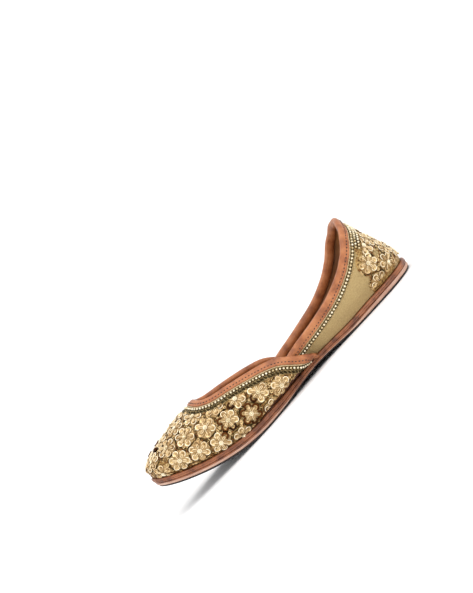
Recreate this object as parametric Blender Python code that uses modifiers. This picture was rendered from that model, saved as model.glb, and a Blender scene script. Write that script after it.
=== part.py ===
"""Mojari: a flat South Asian slip-on shoe with a hollow two-part upper on a stacked leather sole.

Metres, +Z up. +X points to the toe, +Y to the wearer's left, and the shoe stands on Z = 0
with the middle of its length and width over the origin. The last is straight, so every
piece is symmetric about Y = 0 and the shoe fits either foot.
"""

import math

import bmesh
import bpy
import numpy as np

# Driving sizes of the last and the sole
SHOE_LENGTH = 0.251
BALL_WIDTH = 0.0805
SOLE_BALL_WIDTH = 0.0775
HEEL_HEIGHT = 0.0655
INSTEP_HEIGHT = 0.0510
TOE_SPRING = 0.0268
ARCH_RISE = 0.0034
TOE_ROUND = 0.0190
HEEL_ROUND = 0.0360
HEEL_EDGE_LIFT = 0.0010

# Thickness of each layer of the sole, at the ball
RUBBER = 0.0012
SOLE_LEATHER = 0.0028
RAND = 0.0036
INSOLE = 0.0020
RAND_EDGE_ROUND = 0.0011
SOLE_STEP = 0.0005
RUBBER_STEP = 0.0013
EDGE_BEVEL = 0.0005

# Upper
WALL = 0.0014
FEATHER_INSET = 0.0022
TOE_FRONT_ROUND = 0.0150

# Bindings along both toplines, and the loose leather inside
BINDING_WIDTH = 0.0052
BINDING_TURN_IN = 0.0036
BINDING_LEATHER = 0.0009
BINDING_BENDS = (0.62, 0.30)
BINDING_FOOT_ANGLE = 2.0
BINDING_FOOT_HEIGHT = 0.001
FLAP_LEATHER = 0.0010
FLAP_RISE = 0.0006
PATCH_LEATHER = 0.0006
FLAP_SHOULDER_HALF = 0.0207
FLAP_HALF_GAP = 0.0005

# Clearance that neighbouring pieces keep, and how far the quarter is set in behind the wings
GAP = 0.0003
BINDING_GAP = 0.0006
TUCK = WALL + 3 * GAP
TOE_CORNER_ROOM = 0.0012

# Plan of the sole: share of the length from the heel, half width as a share of half the ball width
SOLE_PLAN = (
    # share, width
    (0.00, 0.77),
    (0.14, 0.77),
    (0.28, 0.73),
    (0.41, 0.69),
    (0.51, 0.77),
    (0.59, 0.91),
    (0.66, 1.00),
    (0.75, 0.965),
    (0.84, 0.835),
    (0.92, 0.695),
    (1.00, 0.545),
)

# Thickness of the stacked sole along the shoe, as a share of its thickness at the ball
SOLE_STACK = (
    # share, thickness
    (0.00, 1.00),
    (0.18, 0.98),
    (0.32, 0.76),
    (0.44, 0.60),
    (0.54, 0.78),
    (0.64, 1.00),
    (1.00, 1.00),
)

# Vamp sections: share of the length, half width as a share of half the ball width, height of the
# widest line above the feather and crown above the floor as shares of the instep height, and
# the squareness of the section
VAMP_SECTIONS = (
    # share, width, widest, crown, square
    (0.36, 0.740, 0.055, 0.840, 2.30),
    (0.44, 0.850, 0.090, 0.870, 2.35),
    (0.51, 0.945, 0.110, 0.890, 2.25),
    (0.59, 0.990, 0.120, 0.920, 2.15),
    (0.66, 1.000, 0.120, 0.960, 2.05),
    (0.743, 0.975, 0.125, 0.996, 2.00),
    (0.80, 0.905, 0.130, 0.998, 2.10),
    (0.86, 0.800, 0.130, 0.970, 2.25),
    (0.92, 0.675, 0.120, 0.926, 2.40),
    (1.00, 0.530, 0.110, 0.846, 2.50),
)

# Vamp topline, from the wing's tip at the sole to the middle of the throat: run along it,
# share of the length, and angle round the section, where FEATHER_ANGLE is the feather
FEATHER_ANGLE = -30.0
VAMP_TOPLINE = (
    # run, share, angle
    (0.00, 0.384, -30.0),
    (0.08, 0.411, -5.5),
    (0.20, 0.4535, 8.0),
    (0.34, 0.510, 30.0),
    (0.50, 0.588, 44.3),
    (0.64, 0.656, 52.3),
    (0.76, 0.7095, 57.6),
    (0.86, 0.7365, 67.2),
    (0.94, 0.7440, 80.0),
    (1.00, 0.7455, 90.0),
)

# Run of each topline over which the turned-in leg of its binding grows to full width
WING_TIP_FADE = (-0.05, 0.30)
QUARTER_FADE = (-1.0, 0.0)

# Quarter topline: run along the feather from the back of the heel as a share of the length,
# and height above the floor as a share of the heel height
QUARTER_TOPLINE = (
    # run, height
    (0.000, 1.000),
    (0.050, 0.976),
    (0.098, 0.902),
    (0.140, 0.836),
    (0.180, 0.742),
    (0.240, 0.592),
    (0.325, 0.475),
    (0.405, 0.419),
    (0.500, 0.372),
    (0.590, 0.307),
    (0.655, 0.255),
)

# How far the quarter stands out from its feather at each height above it, sideways and
# backwards at the heel, all as shares of the heel height
QUARTER_FORM = (
    # height, side, back
    (0.00, 0.000, 0.000),
    (0.06, 0.030, 0.014),
    (0.13, 0.065, 0.011),
    (0.22, 0.090, -0.007),
    (0.33, 0.104, -0.040),
    (0.48, 0.102, -0.089),
    (0.64, 0.085, -0.136),
    (0.80, 0.040, -0.180),
    (1.00, -0.020, -0.214),
)
TUCK_START = 0.345
TUCK_END = 0.420
QUARTER_END_LEAN = 0.55
QUARTER_END_SHARES = (0.60, 0.65)
TOE_CORNER_SHARES = (0.84, 0.96)

# Inner edge of each folded flap, as it lies on the insole: share of the length, and half
# width as a share of the flap's half width at its shoulder
FLAP_EDGE = (
    # share, half width
    (0.095, 1.00),
    (0.160, 1.00),
    (0.422, 0.00),
    (0.428, 0.00),
    (0.560, 0.69),
    (0.600, 1.19),
)
PATCH_START = 0.36
PATCH_END = 0.566
PATCH_HALF = 0.0175

# Where along the length the tread leaves the floor, as shares of it
HEEL_LIFT_SHARE = 0.045
ARCH_START = 0.22
ARCH_END = 0.625
BALL_SHARE = 0.646

# Squareness of the rounded ends, and how early the upper's lower edge swells to full width
TOE_POWER = 2.5
HEEL_POWER = 2.15
TOE_FRONT_POWER = 2.6
SWELL_POWER = 1.8

# Mesh density
HALF_STATIONS = 40
WING_STATIONS = 24
WING_FIRST = 2
FRONT_STATIONS = 15
VAMP_COLUMNS = 9
QUARTER_STATIONS = 32
QUARTER_COLUMNS = 8
FLAP_STATIONS = 26
PATCH_STATIONS = 8
VAMP_STEPS = (0.0004, 0.5)
QUARTER_STEPS = (0.0004, 0.0004)

STACK_AT_BALL = RUBBER + SOLE_LEATHER + RAND
FRONT = SHOE_LENGTH - FEATHER_INSET


def column(table, index):
    return [row[index] for row in table]


def read_table(table, index, at):
    """Value of one column at a place along the first, on a smooth curve that never overshoots."""
    xs = column(table, 0)
    ys = column(table, index)
    if at <= xs[0]:
        return ys[0]
    if at >= xs[-1]:
        return ys[-1]
    slopes = [(ys[i + 1] - ys[i]) / (xs[i + 1] - xs[i]) for i in range(len(xs) - 1)]
    tangents = [slopes[0]]
    for before, after in zip(slopes, slopes[1:]):
        product = before * after
        tangents.append(2 * product / (before + after) if product > 0 else 0.0)
    tangents.append(slopes[-1])
    i = max(k for k in range(len(xs) - 1) if xs[k] <= at)
    span = xs[i + 1] - xs[i]
    t = (at - xs[i]) / span
    return (
        (1 + 2 * t) * (1 - t) ** 2 * ys[i]
        + t * (1 - t) ** 2 * span * tangents[i]
        + t * t * (3 - 2 * t) * ys[i + 1]
        + t * t * (t - 1) * span * tangents[i + 1]
    )


def unit(vector):
    return vector / np.linalg.norm(vector)


def smooth_step(low, high, at):
    t = min(max((at - low) / (high - low), 0.0), 1.0)
    return t * t * (3 - 2 * t)


def rounded_end(distance, reach, power):
    """From 0 at the very end of a form to 1 where its rounding stops."""
    t = min(max(distance / reach, 0.0), 1.0)
    return (1 - (1 - t) ** power) ** (1 / power)


def sole_half_width(x):
    """Half width of the sole at x metres from the back of the heel."""
    width = read_table(SOLE_PLAN, 1, x / SHOE_LENGTH) * SOLE_BALL_WIDTH / 2
    toe = rounded_end(SHOE_LENGTH - x, TOE_ROUND, TOE_POWER)
    return width * toe * rounded_end(x, HEEL_ROUND, HEEL_POWER)


def sole_bottom(x):
    """Height of the tread: a spring under the toe, a slight arch and a lifted heel edge."""
    share = x / SHOE_LENGTH
    spring = TOE_SPRING * max((share - BALL_SHARE) / (1 - BALL_SHARE), 0.0) ** 2
    arch_run = min(max((share - ARCH_START) / (ARCH_END - ARCH_START), 0.0), 1.0)
    arch = ARCH_RISE * math.sin(math.pi * arch_run) ** 2
    return spring + arch + HEEL_EDGE_LIFT * max(1 - share / HEEL_LIFT_SHARE, 0.0) ** 2


def stack_share(x):
    return read_table(SOLE_STACK, 1, x / SHOE_LENGTH)


def layer_height(x, thickness_below, gaps_below):
    """Height of a level of the stack, above the layers and clearances under it."""
    return sole_bottom(x) + thickness_below * stack_share(x) + gaps_below * GAP


def rand_top(x):
    return layer_height(x, STACK_AT_BALL, 2)


def feather_height(x):
    """Lower edge of the upper, just clear of the sole."""
    return rand_top(x) + GAP


def insole_top(x):
    return rand_top(x) + GAP + INSOLE


def outline_points(count):
    """Half of the sole's outline from the toe's tip to the back of the heel, evenly spaced."""
    fine = 900
    xs = [SHOE_LENGTH * (1 + math.cos(math.pi * i / fine)) / 2 for i in range(fine + 1)]
    points = [np.array((x, sole_half_width(x))) for x in xs]
    run = np.concatenate(([0.0], np.cumsum([np.linalg.norm(b - a) for a, b in zip(points, points[1:])])))
    wanted = np.linspace(0.0, run[-1], count)
    return np.stack([np.interp(wanted, run, [p[k] for p in points]) for k in (0, 1)], axis=1)


def outline_normals(points):
    """Outward direction in plan at each outline point."""
    mirrored = np.vstack((points[1] * (1, -1), points, points[-2] * (1, -1)))
    back = mirrored[:-2] - mirrored[2:]
    back /= np.linalg.norm(back, axis=1)[:, None]
    return np.stack((-back[:, 1], back[:, 0]), axis=1)


def inset_outline(inset, count=HALF_STATIONS):
    points = outline_points(count)
    moved = points - outline_normals(points) * inset
    moved[0, 1] = moved[-1, 1] = 0.0
    return moved


def vamp_point(x, angle):
    """A point of the vamp's outer face at x from the heel and at this angle round the section."""
    share = x / SHOE_LENGTH
    toe = rounded_end(FRONT - x, TOE_ROUND, TOE_POWER)
    wide = read_table(VAMP_SECTIONS, 1, share) * BALL_WIDTH / 2 * toe
    ahead = FEATHER_INSET * smooth_step(BALL_SHARE, 1.0, share)
    low = min(max(sole_half_width(x + ahead) - FEATHER_INSET, 0.0), wide)
    widest = feather_height(x) + read_table(VAMP_SECTIONS, 2, share) * INSTEP_HEIGHT
    crown = read_table(VAMP_SECTIONS, 3, share) * INSTEP_HEIGHT
    rise = (crown - widest) * rounded_end(FRONT - x, TOE_FRONT_ROUND, TOE_FRONT_POWER)
    if angle < 0:
        up = 1 - angle / FEATHER_ANGLE
        out = 1 - (1 - up) ** SWELL_POWER
        height = feather_height(x) + (widest - feather_height(x)) * up
        return np.array((x, low + (wide - low) * out, height))
    power = 2 / read_table(VAMP_SECTIONS, 4, share)
    turn = math.radians(90.0 - abs(90.0 - angle))
    across = wide * max(math.cos(turn), 0.0) ** power if angle != 90.0 else 0.0
    return np.array((x, math.copysign(across, 90.0 - angle), widest + rise * math.sin(turn) ** power))


def quarter_frame():
    """Feather of the quarter from the back of the heel forward: run, plan point, plan normal."""
    points = inset_outline(FEATHER_INSET, 160)[::-1]
    normals = outline_normals(points[::-1])[::-1]
    run = np.concatenate(([0.0], np.cumsum(np.linalg.norm(np.diff(points, axis=0), axis=1))))
    return run, points, normals


QUARTER_RUN, QUARTER_FEATHER, QUARTER_NORMALS = quarter_frame()


def quarter_plan(run):
    """Feather point and outward normal in plan, at this run from the back of the heel."""
    side = (1.0, math.copysign(1.0, run))
    at = [np.interp(abs(run), QUARTER_RUN, QUARTER_FEATHER[:, k]) for k in (0, 1)]
    normal = [np.interp(abs(run), QUARTER_RUN, QUARTER_NORMALS[:, k]) for k in (0, 1)]
    return np.array(at) * side, unit(np.array(normal)) * side


def quarter_point(run, height):
    """A point of the quarter's outer face, this high above its feather."""
    at, normal = quarter_plan(run)
    share = height / HEEL_HEIGHT
    side = read_table(QUARTER_FORM, 1, share) * HEEL_HEIGHT
    back = read_table(QUARTER_FORM, 2, share) * HEEL_HEIGHT
    place = at[0] / SHOE_LENGTH
    lean = 1 - QUARTER_END_LEAN * smooth_step(TUCK_END, QUARTER_TOPLINE[-1][0], place)
    tuck = TUCK * smooth_step(TUCK_START, TUCK_END, place)
    out = side * normal[1] ** 2 * lean - tuck
    x, y = at + normal * out
    x -= back * (1 - (1 - abs(normal[0])) ** 2)
    return np.array((x, y, feather_height(max(at[0], 0.0)) + height))


def quarter_top(run):
    """Height of the quarter's topline above its feather."""
    at = quarter_plan(run)[0]
    floor_height = read_table(QUARTER_TOPLINE, 1, run / SHOE_LENGTH) * HEEL_HEIGHT
    return floor_height - feather_height(max(at[0], 0.0))


def vamp_rim(run):
    """Place on the vamp of its topline, from the wing's tip (0) to the middle of the throat (1)."""
    return read_table(VAMP_TOPLINE, 1, run) * SHOE_LENGTH, read_table(VAMP_TOPLINE, 2, run)


def quarter_rim(run):
    """Place on the quarter of its topline, from the back of the heel (0) to its front end (1)."""
    along = run * QUARTER_TOPLINE[-1][0] * SHOE_LENGTH
    return along, quarter_top(along)


def slopes_at(surface, u, v, steps):
    """Directions in which the surface runs as each of its two values grows."""
    du, dv = steps
    along_u = (surface(u + du, v) - surface(u - du, v)) / (2 * du)
    along_v = (surface(u, v + dv) - surface(u, v - dv)) / (2 * dv)
    return along_u, along_v


def new_material(name, colour, roughness, metallic=0.0):
    material = bpy.data.materials.new(name)
    material.use_nodes = True
    shader = material.node_tree.nodes["Principled BSDF"]
    shader.inputs["Base Color"].default_value = (*colour, 1.0)
    shader.inputs["Roughness"].default_value = roughness
    shader.inputs["Metallic"].default_value = metallic
    return material


def to_world(point):
    return (point[0] - SHOE_LENGTH / 2, point[1], point[2])


def loft(name, rows, closed, capped, material, collection):
    """An object whose faces join each row of points to the next. Closed rows are rings."""
    mesh = bmesh.new()
    grid = [[mesh.verts.new(to_world(point)) for point in row] for row in rows]
    count = len(rows[0])
    for here, there in zip(grid, grid[1:]):
        for i in range(count if closed else count - 1):
            j = (i + 1) % count
            mesh.faces.new((here[i], here[j], there[j], there[i]))
    for end in capped:
        mesh.faces.new(grid[end] if end == 0 else reversed(grid[end]))
    bmesh.ops.remove_doubles(mesh, verts=mesh.verts, dist=1e-7)
    data = bpy.data.meshes.new(name)
    mesh.to_mesh(data)
    mesh.free()
    data.materials.append(material)
    data.shade_smooth()
    data.set_sharp_from_angle(angle=math.radians(40))
    obj = bpy.data.objects.new(name, data)
    collection.objects.link(obj)
    return obj


def face_out(obj):
    """Turns the object's faces so that they point out of its body once it is whole."""
    mesh = bmesh.new()
    mesh.from_mesh(obj.data)
    bmesh.ops.recalc_face_normals(mesh, faces=mesh.faces)
    mesh.to_mesh(obj.data)
    mesh.free()


def mirror(obj):
    modifier = obj.modifiers.new("Both halves", "MIRROR")
    modifier.use_axis = (False, True, False)
    modifier.use_mirror_merge = True
    modifier.merge_threshold = 0.00001


def thicken(obj, wall):
    modifier = obj.modifiers.new("Wall", "SOLIDIFY")
    modifier.thickness = wall
    modifier.offset = -1.0
    modifier.use_even_offset = False
    modifier.use_quality_normals = True


def sole_layer(name, below, thickness, gaps_below, edge, material, collection):
    """One layer of the stack. Edge rows give the height in the layer and how far the side is set in."""
    outlines = [(up, inset_outline(inset)) for up, inset in edge]
    rows = []
    for i in range(HALF_STATIONS):
        row = []
        for up, outline in outlines:
            x, y = outline[i]
            x = min(max(x, 0.0), SHOE_LENGTH)
            height = layer_height(x, below + up * thickness, gaps_below)
            row.append((x, max(y, 0.0), height))
        first, last = row[0], row[-1]
        rows.append([(first[0], 0.0, first[2]), *row, (last[0], 0.0, last[2])])
    obj = loft(name, rows, False, (), material, collection)
    mirror(obj)


def make_sole(materials, collection):
    rubber_edge = (
        # height in the layer, inset
        (0.0, RUBBER_STEP + EDGE_BEVEL),
        (0.4, RUBBER_STEP),
        (1.0, RUBBER_STEP),
    )
    leather_edge = (
        (0.0, SOLE_STEP + EDGE_BEVEL),
        (0.3, SOLE_STEP),
        (1.0, SOLE_STEP),
    )
    rand_edge = (
        (0.0, EDGE_BEVEL),
        (0.22, 0.0),
        (0.62, 0.0),
        (0.88, RAND_EDGE_ROUND * 0.45),
        (1.0, RAND_EDGE_ROUND),
    )
    sole_layer("rubber_outsole", 0.0, RUBBER, 0, rubber_edge, materials["rubber"], collection)
    sole_layer("leather_sole", RUBBER, SOLE_LEATHER, 1, leather_edge, materials["sole_leather"], collection)
    below = RUBBER + SOLE_LEATHER
    sole_layer("rand_midsole", below, RAND, 2, rand_edge, materials["rand_leather"], collection)


def inner_foot(x):
    """Half width of the room between the upper's walls, at the insole."""
    inset = FEATHER_INSET + WALL + 2 * GAP
    share = x / SHOE_LENGTH
    tuck = TUCK * smooth_step(TUCK_START, TUCK_END, share)
    in_toe = TOE_CORNER_ROOM * smooth_step(*TOE_CORNER_SHARES, share)
    return inset + tuck * (1 - smooth_step(*QUARTER_END_SHARES, share)) + in_toe


def make_insole(materials, collection):
    base = outline_points(HALF_STATIONS)
    normals = outline_normals(base)
    rows = []
    for (x, y), normal in zip(base, normals):
        at = np.array((x, y)) - normal * inner_foot(x)
        at[1] = max(at[1], 0.0)
        low = rand_top(at[0]) + GAP
        rows.append([
            (at[0], 0.0, low),
            (at[0], at[1], low),
            (at[0], at[1], low + INSOLE),
            (at[0], 0.0, low + INSOLE),
        ])
    for row in (rows[0], rows[-1]):
        row[1] = row[0]
        row[2] = row[3]
    obj = loft("insole", rows, False, (), materials["lining"], collection)
    mirror(obj)


def make_vamp(materials, collection):
    """The toe and the two wings, as one open sheet given its wall."""
    throat = VAMP_TOPLINE[-1][1] * SHOE_LENGTH
    stations = [vamp_rim(i / WING_STATIONS) for i in range(WING_FIRST, WING_STATIONS + 1)]
    for i in range(1, FRONT_STATIONS + 1):
        ahead = math.sin(math.pi / 2 * i / FRONT_STATIONS)
        stations.append((throat + (FRONT - throat) * ahead, 90.0))
    rows = []
    for x, top in stations:
        turn = (top - FEATHER_ANGLE) / VAMP_COLUMNS
        rows.append([vamp_point(x, FEATHER_ANGLE + turn * j) for j in range(VAMP_COLUMNS + 1)])
    obj = loft("vamp", rows, False, (), materials["brocade"], collection)
    mirror(obj)
    thicken(obj, WALL)


def make_quarter(materials, collection):
    """The back of the upper, from one wing round the heel to the other."""
    rows = []
    for i in range(QUARTER_STATIONS + 1):
        run, top = quarter_rim(i / QUARTER_STATIONS)
        rows.append([quarter_point(run, top * j / QUARTER_COLUMNS) for j in range(QUARTER_COLUMNS + 1)])
    for point in rows[0]:
        point[1] = 0.0
    obj = loft("quarter", rows, False, (), materials["tissue"], collection)
    mirror(obj)
    thicken(obj, WALL)


def walk_down(surface, place, run, steps, lowest):
    """Places on the surface at even depths below a topline, square to it, down to the binding's edge."""
    pieces = 8
    stride = BINDING_WIDTH / pieces
    u, v = place
    places = [(0.0, u, v)]
    for i in range(pieces):
        along_u, along_v = slopes_at(surface, u, v, steps)
        down = unit(np.cross(unit(np.cross(along_u, along_v)), run))
        if down @ along_v > 0:
            down = -down
        basis = np.stack((along_u, along_v), axis=1)
        du, dv = np.linalg.lstsq(basis, down * stride, rcond=None)[0]
        part = min(1.0, (v - lowest) / -dv)
        u += du * part
        v += dv * part
        places.append((places[-1][0] + stride * part, u, v))
        if part < 1.0:
            break
    return places


def binding_ring(surface, place, ahead, behind, steps, lowest, turn_in):
    """Section of the binding over a topline: outer leg, rolled top and inner leg, as one ring."""
    run = unit(surface(*ahead) - surface(*behind))
    places = walk_down(surface, place, run, steps, lowest)
    depths = column(places, 0)
    narrowing = depths[-1] / BINDING_WIDTH

    def spot(depth, off):
        """Point at this depth below the topline and this far off the upper's outer face."""
        at = max(depth, 0.0) * narrowing
        u = np.interp(at, depths, column(places, 1))
        v = np.interp(at, depths, column(places, 2))
        along_u, along_v = slopes_at(surface, u, v, steps)
        out = unit(np.cross(along_v, along_u))
        rise = unit(np.cross(run, out)) * max(-depth, 0.0)
        if rise @ along_v < 0:
            rise = -rise
        return surface(u, v) + rise + out * off

    outer = BINDING_GAP + BINDING_LEATHER
    inner = -(WALL + BINDING_GAP)
    inside = inner - BINDING_LEATHER
    middle = (outer + inside) / 2
    low, high = (BINDING_WIDTH * share for share in BINDING_BENDS)
    return [
        spot(BINDING_WIDTH, BINDING_GAP),
        spot(BINDING_WIDTH, outer * 0.9),
        spot(low, outer),
        spot(high, outer),
        spot(0.0, outer),
        spot(-(BINDING_GAP + BINDING_LEATHER), middle),
        spot(0.0, inside),
        spot(turn_in, inside),
        spot(turn_in, inner),
        spot(-BINDING_GAP, inner),
        spot(-BINDING_GAP, BINDING_GAP),
        spot(high, BINDING_GAP),
        spot(low, BINDING_GAP),
    ]


def make_binding(
    name, surface, rim, first, stations, steps, lowest, fade, mirrored_at, material, collection
):
    """A strip of leather folded over one topline, swept along half of it and mirrored."""
    rows = []
    for i in range(first, stations + 1):
        t = i / stations
        ahead = rim(min(t + 0.004, 1.0))
        behind = rim(max(t - 0.004, 0.0))
        turn_in = BINDING_TURN_IN * smooth_step(*fade, t)
        rows.append(binding_ring(surface, rim(t), ahead, behind, steps, lowest, turn_in))
    for point in rows[mirrored_at]:
        point[1] = 0.0
    open_end = -1 - mirrored_at
    obj = loft(name, rows, True, (open_end,), material, collection)
    mirror(obj)


def flap_edge(x):
    """Half width of the flap's inner edge on straight runs between its corners."""
    share = x / SHOE_LENGTH
    half = np.interp(share, column(FLAP_EDGE, 0), column(FLAP_EDGE, 1)) * FLAP_SHOULDER_HALF
    return max(half, FLAP_HALF_GAP)


def sheet_level(x):
    """Height at which a flap lies: on the insole, over the patch where there is one."""
    return insole_top(x) + 2 * GAP + PATCH_LEATHER


def make_flaps(materials, collection):
    first = FLAP_EDGE[0][0] * SHOE_LENGTH
    last = FLAP_EDGE[-1][0] * SHOE_LENGTH
    stations = sorted(
        {first + (last - first) * i / FLAP_STATIONS for i in range(FLAP_STATIONS + 1)}
        | {row[0] * SHOE_LENGTH for row in FLAP_EDGE}
    )
    for side, label in ((1, "left"), (-1, "right")):
        rows = []
        for x in stations:
            inner = flap_edge(x)
            outer = sole_half_width(x) - inner_foot(x)
            low = sheet_level(x)
            middle = (inner + outer) / 2
            ring = [
                (inner, low),
                (middle, low),
                (outer, low + FLAP_RISE),
                (outer, low + FLAP_RISE + FLAP_LEATHER),
                (middle, low + FLAP_LEATHER),
                (inner, low + FLAP_LEATHER),
            ]
            rows.append([(x, side * y, z) for y, z in ring])
        obj = loft(f"flap_{label}", rows, True, (0, -1), materials["lining"], collection)
        face_out(obj)


def make_patch(materials, collection):
    """The plain piece on the insole that shows between the flaps."""
    rows = []
    for i in range(PATCH_STATIONS + 1):
        x = (PATCH_START + (PATCH_END - PATCH_START) * i / PATCH_STATIONS) * SHOE_LENGTH
        low = insole_top(x) + GAP
        rows.append([
            (x, -PATCH_HALF, low),
            (x, PATCH_HALF, low),
            (x, PATCH_HALF, low + PATCH_LEATHER),
            (x, -PATCH_HALF, low + PATCH_LEATHER),
        ])
    obj = loft("waist_patch", rows, True, (0, -1), materials["patch"], collection)
    face_out(obj)


def make_materials():
    return {
        "rubber": new_material("rubber", (0.012, 0.010, 0.010), 0.75),
        "sole_leather": new_material("sole_leather", (0.62, 0.40, 0.28), 0.60),
        "rand_leather": new_material("rand_leather", (0.33, 0.13, 0.055), 0.45),
        "lining": new_material("lining", (0.19, 0.075, 0.022), 0.55),
        "brocade": new_material("brocade", (0.58, 0.38, 0.16), 0.38, 0.6),
        "tissue": new_material("tissue", (0.52, 0.36, 0.15), 0.42, 0.5),
        "binding": new_material("binding", (0.60, 0.27, 0.13), 0.50),
        "patch": new_material("patch", (0.010, 0.010, 0.009), 0.60),
    }


def main():
    for obj in list(bpy.data.objects):
        bpy.data.objects.remove(obj)
    shoe = bpy.data.collections.new("mojari_shoe")
    bpy.context.scene.collection.children.link(shoe)
    materials = make_materials()
    make_sole(materials, shoe)
    make_insole(materials, shoe)
    make_vamp(materials, shoe)
    make_quarter(materials, shoe)
    make_binding(
        "vamp_binding", vamp_point, vamp_rim, WING_FIRST + 1, WING_STATIONS, VAMP_STEPS,
        FEATHER_ANGLE + BINDING_FOOT_ANGLE, WING_TIP_FADE, -1, materials["binding"], shoe,
    )
    make_binding(
        "quarter_binding", quarter_point, quarter_rim, 0, QUARTER_STATIONS, QUARTER_STEPS,
        BINDING_FOOT_HEIGHT, QUARTER_FADE, 0, materials["binding"], shoe,
    )
    make_flaps(materials, shoe)
    make_patch(materials, shoe)
    for obj in shoe.objects:
        if obj.modifiers:
            face_out(obj)


main()
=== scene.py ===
import math

import bpy
import numpy as np
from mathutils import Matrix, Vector
from mathutils.bvhtree import BVHTree


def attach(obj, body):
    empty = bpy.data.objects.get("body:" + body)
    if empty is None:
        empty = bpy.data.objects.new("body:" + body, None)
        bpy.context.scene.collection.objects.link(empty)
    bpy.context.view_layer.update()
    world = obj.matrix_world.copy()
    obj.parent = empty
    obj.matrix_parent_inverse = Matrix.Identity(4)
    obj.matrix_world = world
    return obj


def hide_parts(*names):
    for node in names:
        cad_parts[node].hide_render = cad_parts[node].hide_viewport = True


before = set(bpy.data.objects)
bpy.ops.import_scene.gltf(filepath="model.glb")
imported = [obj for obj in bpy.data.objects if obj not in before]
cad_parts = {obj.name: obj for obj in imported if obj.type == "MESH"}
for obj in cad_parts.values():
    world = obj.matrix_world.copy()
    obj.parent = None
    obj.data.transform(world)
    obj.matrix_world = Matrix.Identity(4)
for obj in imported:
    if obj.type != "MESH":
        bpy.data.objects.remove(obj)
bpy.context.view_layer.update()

# The last, the sole and the walls of the upper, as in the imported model

SHOE_LENGTH = 0.251
BALL_WIDTH = 0.0805
SOLE_BALL_WIDTH = 0.0775
HEEL_HEIGHT = 0.0655
INSTEP_HEIGHT = 0.0510
TOE_SPRING = 0.0268
ARCH_RISE = 0.0034
TOE_ROUND = 0.0190
HEEL_ROUND = 0.0360
HEEL_EDGE_LIFT = 0.0010
RUBBER = 0.0012
SOLE_LEATHER = 0.0028
RAND = 0.0036
INSOLE = 0.0020
STACK = RUBBER + SOLE_LEATHER + RAND
WALL = 0.0014
FEATHER_INSET = 0.0022
FRONT = SHOE_LENGTH - FEATHER_INSET
TOE_FRONT_ROUND = 0.0150
GAP = 0.0003
TUCK = WALL + 3 * GAP
TOE_POWER = 2.5
HEEL_POWER = 2.15
TOE_FRONT_POWER = 2.6
SWELL_POWER = 1.8
BALL_SHARE = 0.646
ARCH_START = 0.22
ARCH_END = 0.625
HEEL_LIFT_SHARE = 0.045
TUCK_START = 0.345
TUCK_END = 0.420
QUARTER_END_LEAN = 0.55
FEATHER_ANGLE = -30.0

SOLE_PLAN = (
    # share of the length, half width as a share of half the ball width
    (0.00, 0.77), (0.14, 0.77), (0.28, 0.73), (0.41, 0.69), (0.51, 0.77), (0.59, 0.91),
    (0.66, 1.00), (0.75, 0.965), (0.84, 0.835), (0.92, 0.695), (1.00, 0.545),
)
SOLE_STACK = (
    # share, thickness
    (0.00, 1.00), (0.18, 0.98), (0.32, 0.76), (0.44, 0.60), (0.54, 0.78), (0.64, 1.00), (1.00, 1.00),
)
VAMP_SECTIONS = (
    # share, width, widest, crown, square
    (0.36, 0.740, 0.055, 0.840, 2.30),
    (0.44, 0.850, 0.090, 0.870, 2.35),
    (0.51, 0.945, 0.110, 0.890, 2.25),
    (0.59, 0.990, 0.120, 0.920, 2.15),
    (0.66, 1.000, 0.120, 0.960, 2.05),
    (0.743, 0.975, 0.125, 0.996, 2.00),
    (0.80, 0.905, 0.130, 0.998, 2.10),
    (0.86, 0.800, 0.130, 0.970, 2.25),
    (0.92, 0.675, 0.120, 0.926, 2.40),
    (1.00, 0.530, 0.110, 0.846, 2.50),
)
VAMP_TOPLINE = (
    # run, share, angle
    (0.00, 0.398, -30.0),
    (0.08, 0.411, -5.5),
    (0.20, 0.4535, 8.0),
    (0.34, 0.510, 30.0),
    (0.50, 0.588, 44.3),
    (0.64, 0.656, 52.3),
    (0.76, 0.7095, 57.6),
    (0.86, 0.7365, 67.2),
    (0.94, 0.7440, 80.0),
    (1.00, 0.7455, 90.0),
)
QUARTER_TOPLINE = (
    # run, height
    (0.000, 1.000),
    (0.050, 0.976),
    (0.098, 0.902),
    (0.140, 0.836),
    (0.180, 0.742),
    (0.240, 0.592),
    (0.325, 0.475),
    (0.405, 0.419),
    (0.500, 0.372),
    (0.590, 0.307),
    (0.655, 0.255),
)
QUARTER_FORM = (
    # height, side, back
    (0.00, 0.000, 0.000),
    (0.06, 0.030, 0.014),
    (0.13, 0.065, 0.011),
    (0.22, 0.090, -0.007),
    (0.33, 0.104, -0.040),
    (0.48, 0.102, -0.089),
    (0.64, 0.085, -0.136),
    (0.80, 0.040, -0.180),
    (1.00, -0.020, -0.214),
)

# Trims

BINDING_WIDTH = 0.0052
VAMP_TURN_IN = 0.0018
QUARTER_TURN_IN = 0.0054
BINDING_LEATHER = 0.0009
BINDING_GAP = 0.0006
STITCH_DEPTH = 0.0032
STITCH_PITCH = 0.0026
STITCH_LENGTH = 0.0011
STITCH_THREAD = 0.00042
CORD_DEPTH = 0.0057
CORD_THICK = 0.0008
BEAD_DEPTH = 0.0077
BEAD_SIZE = 0.0018
BEAD_PITCH = 0.00265
LACE_DEPTH = 0.0027
LACE_HALF = 0.0011
HEEL_ROWS = (0.0026, 0.0052)
HEEL_ROWS_HALF = 0.042


def rgb(red, green, blue):
    """Linear colour from a screen colour of 0 to 255."""
    shares = (value / 255 for value in (red, green, blue))
    return tuple(((c + 0.055) / 1.055) ** 2.4 if c > 0.0393 else c / 12.92 for c in shares)


# Curves and surfaces


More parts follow.
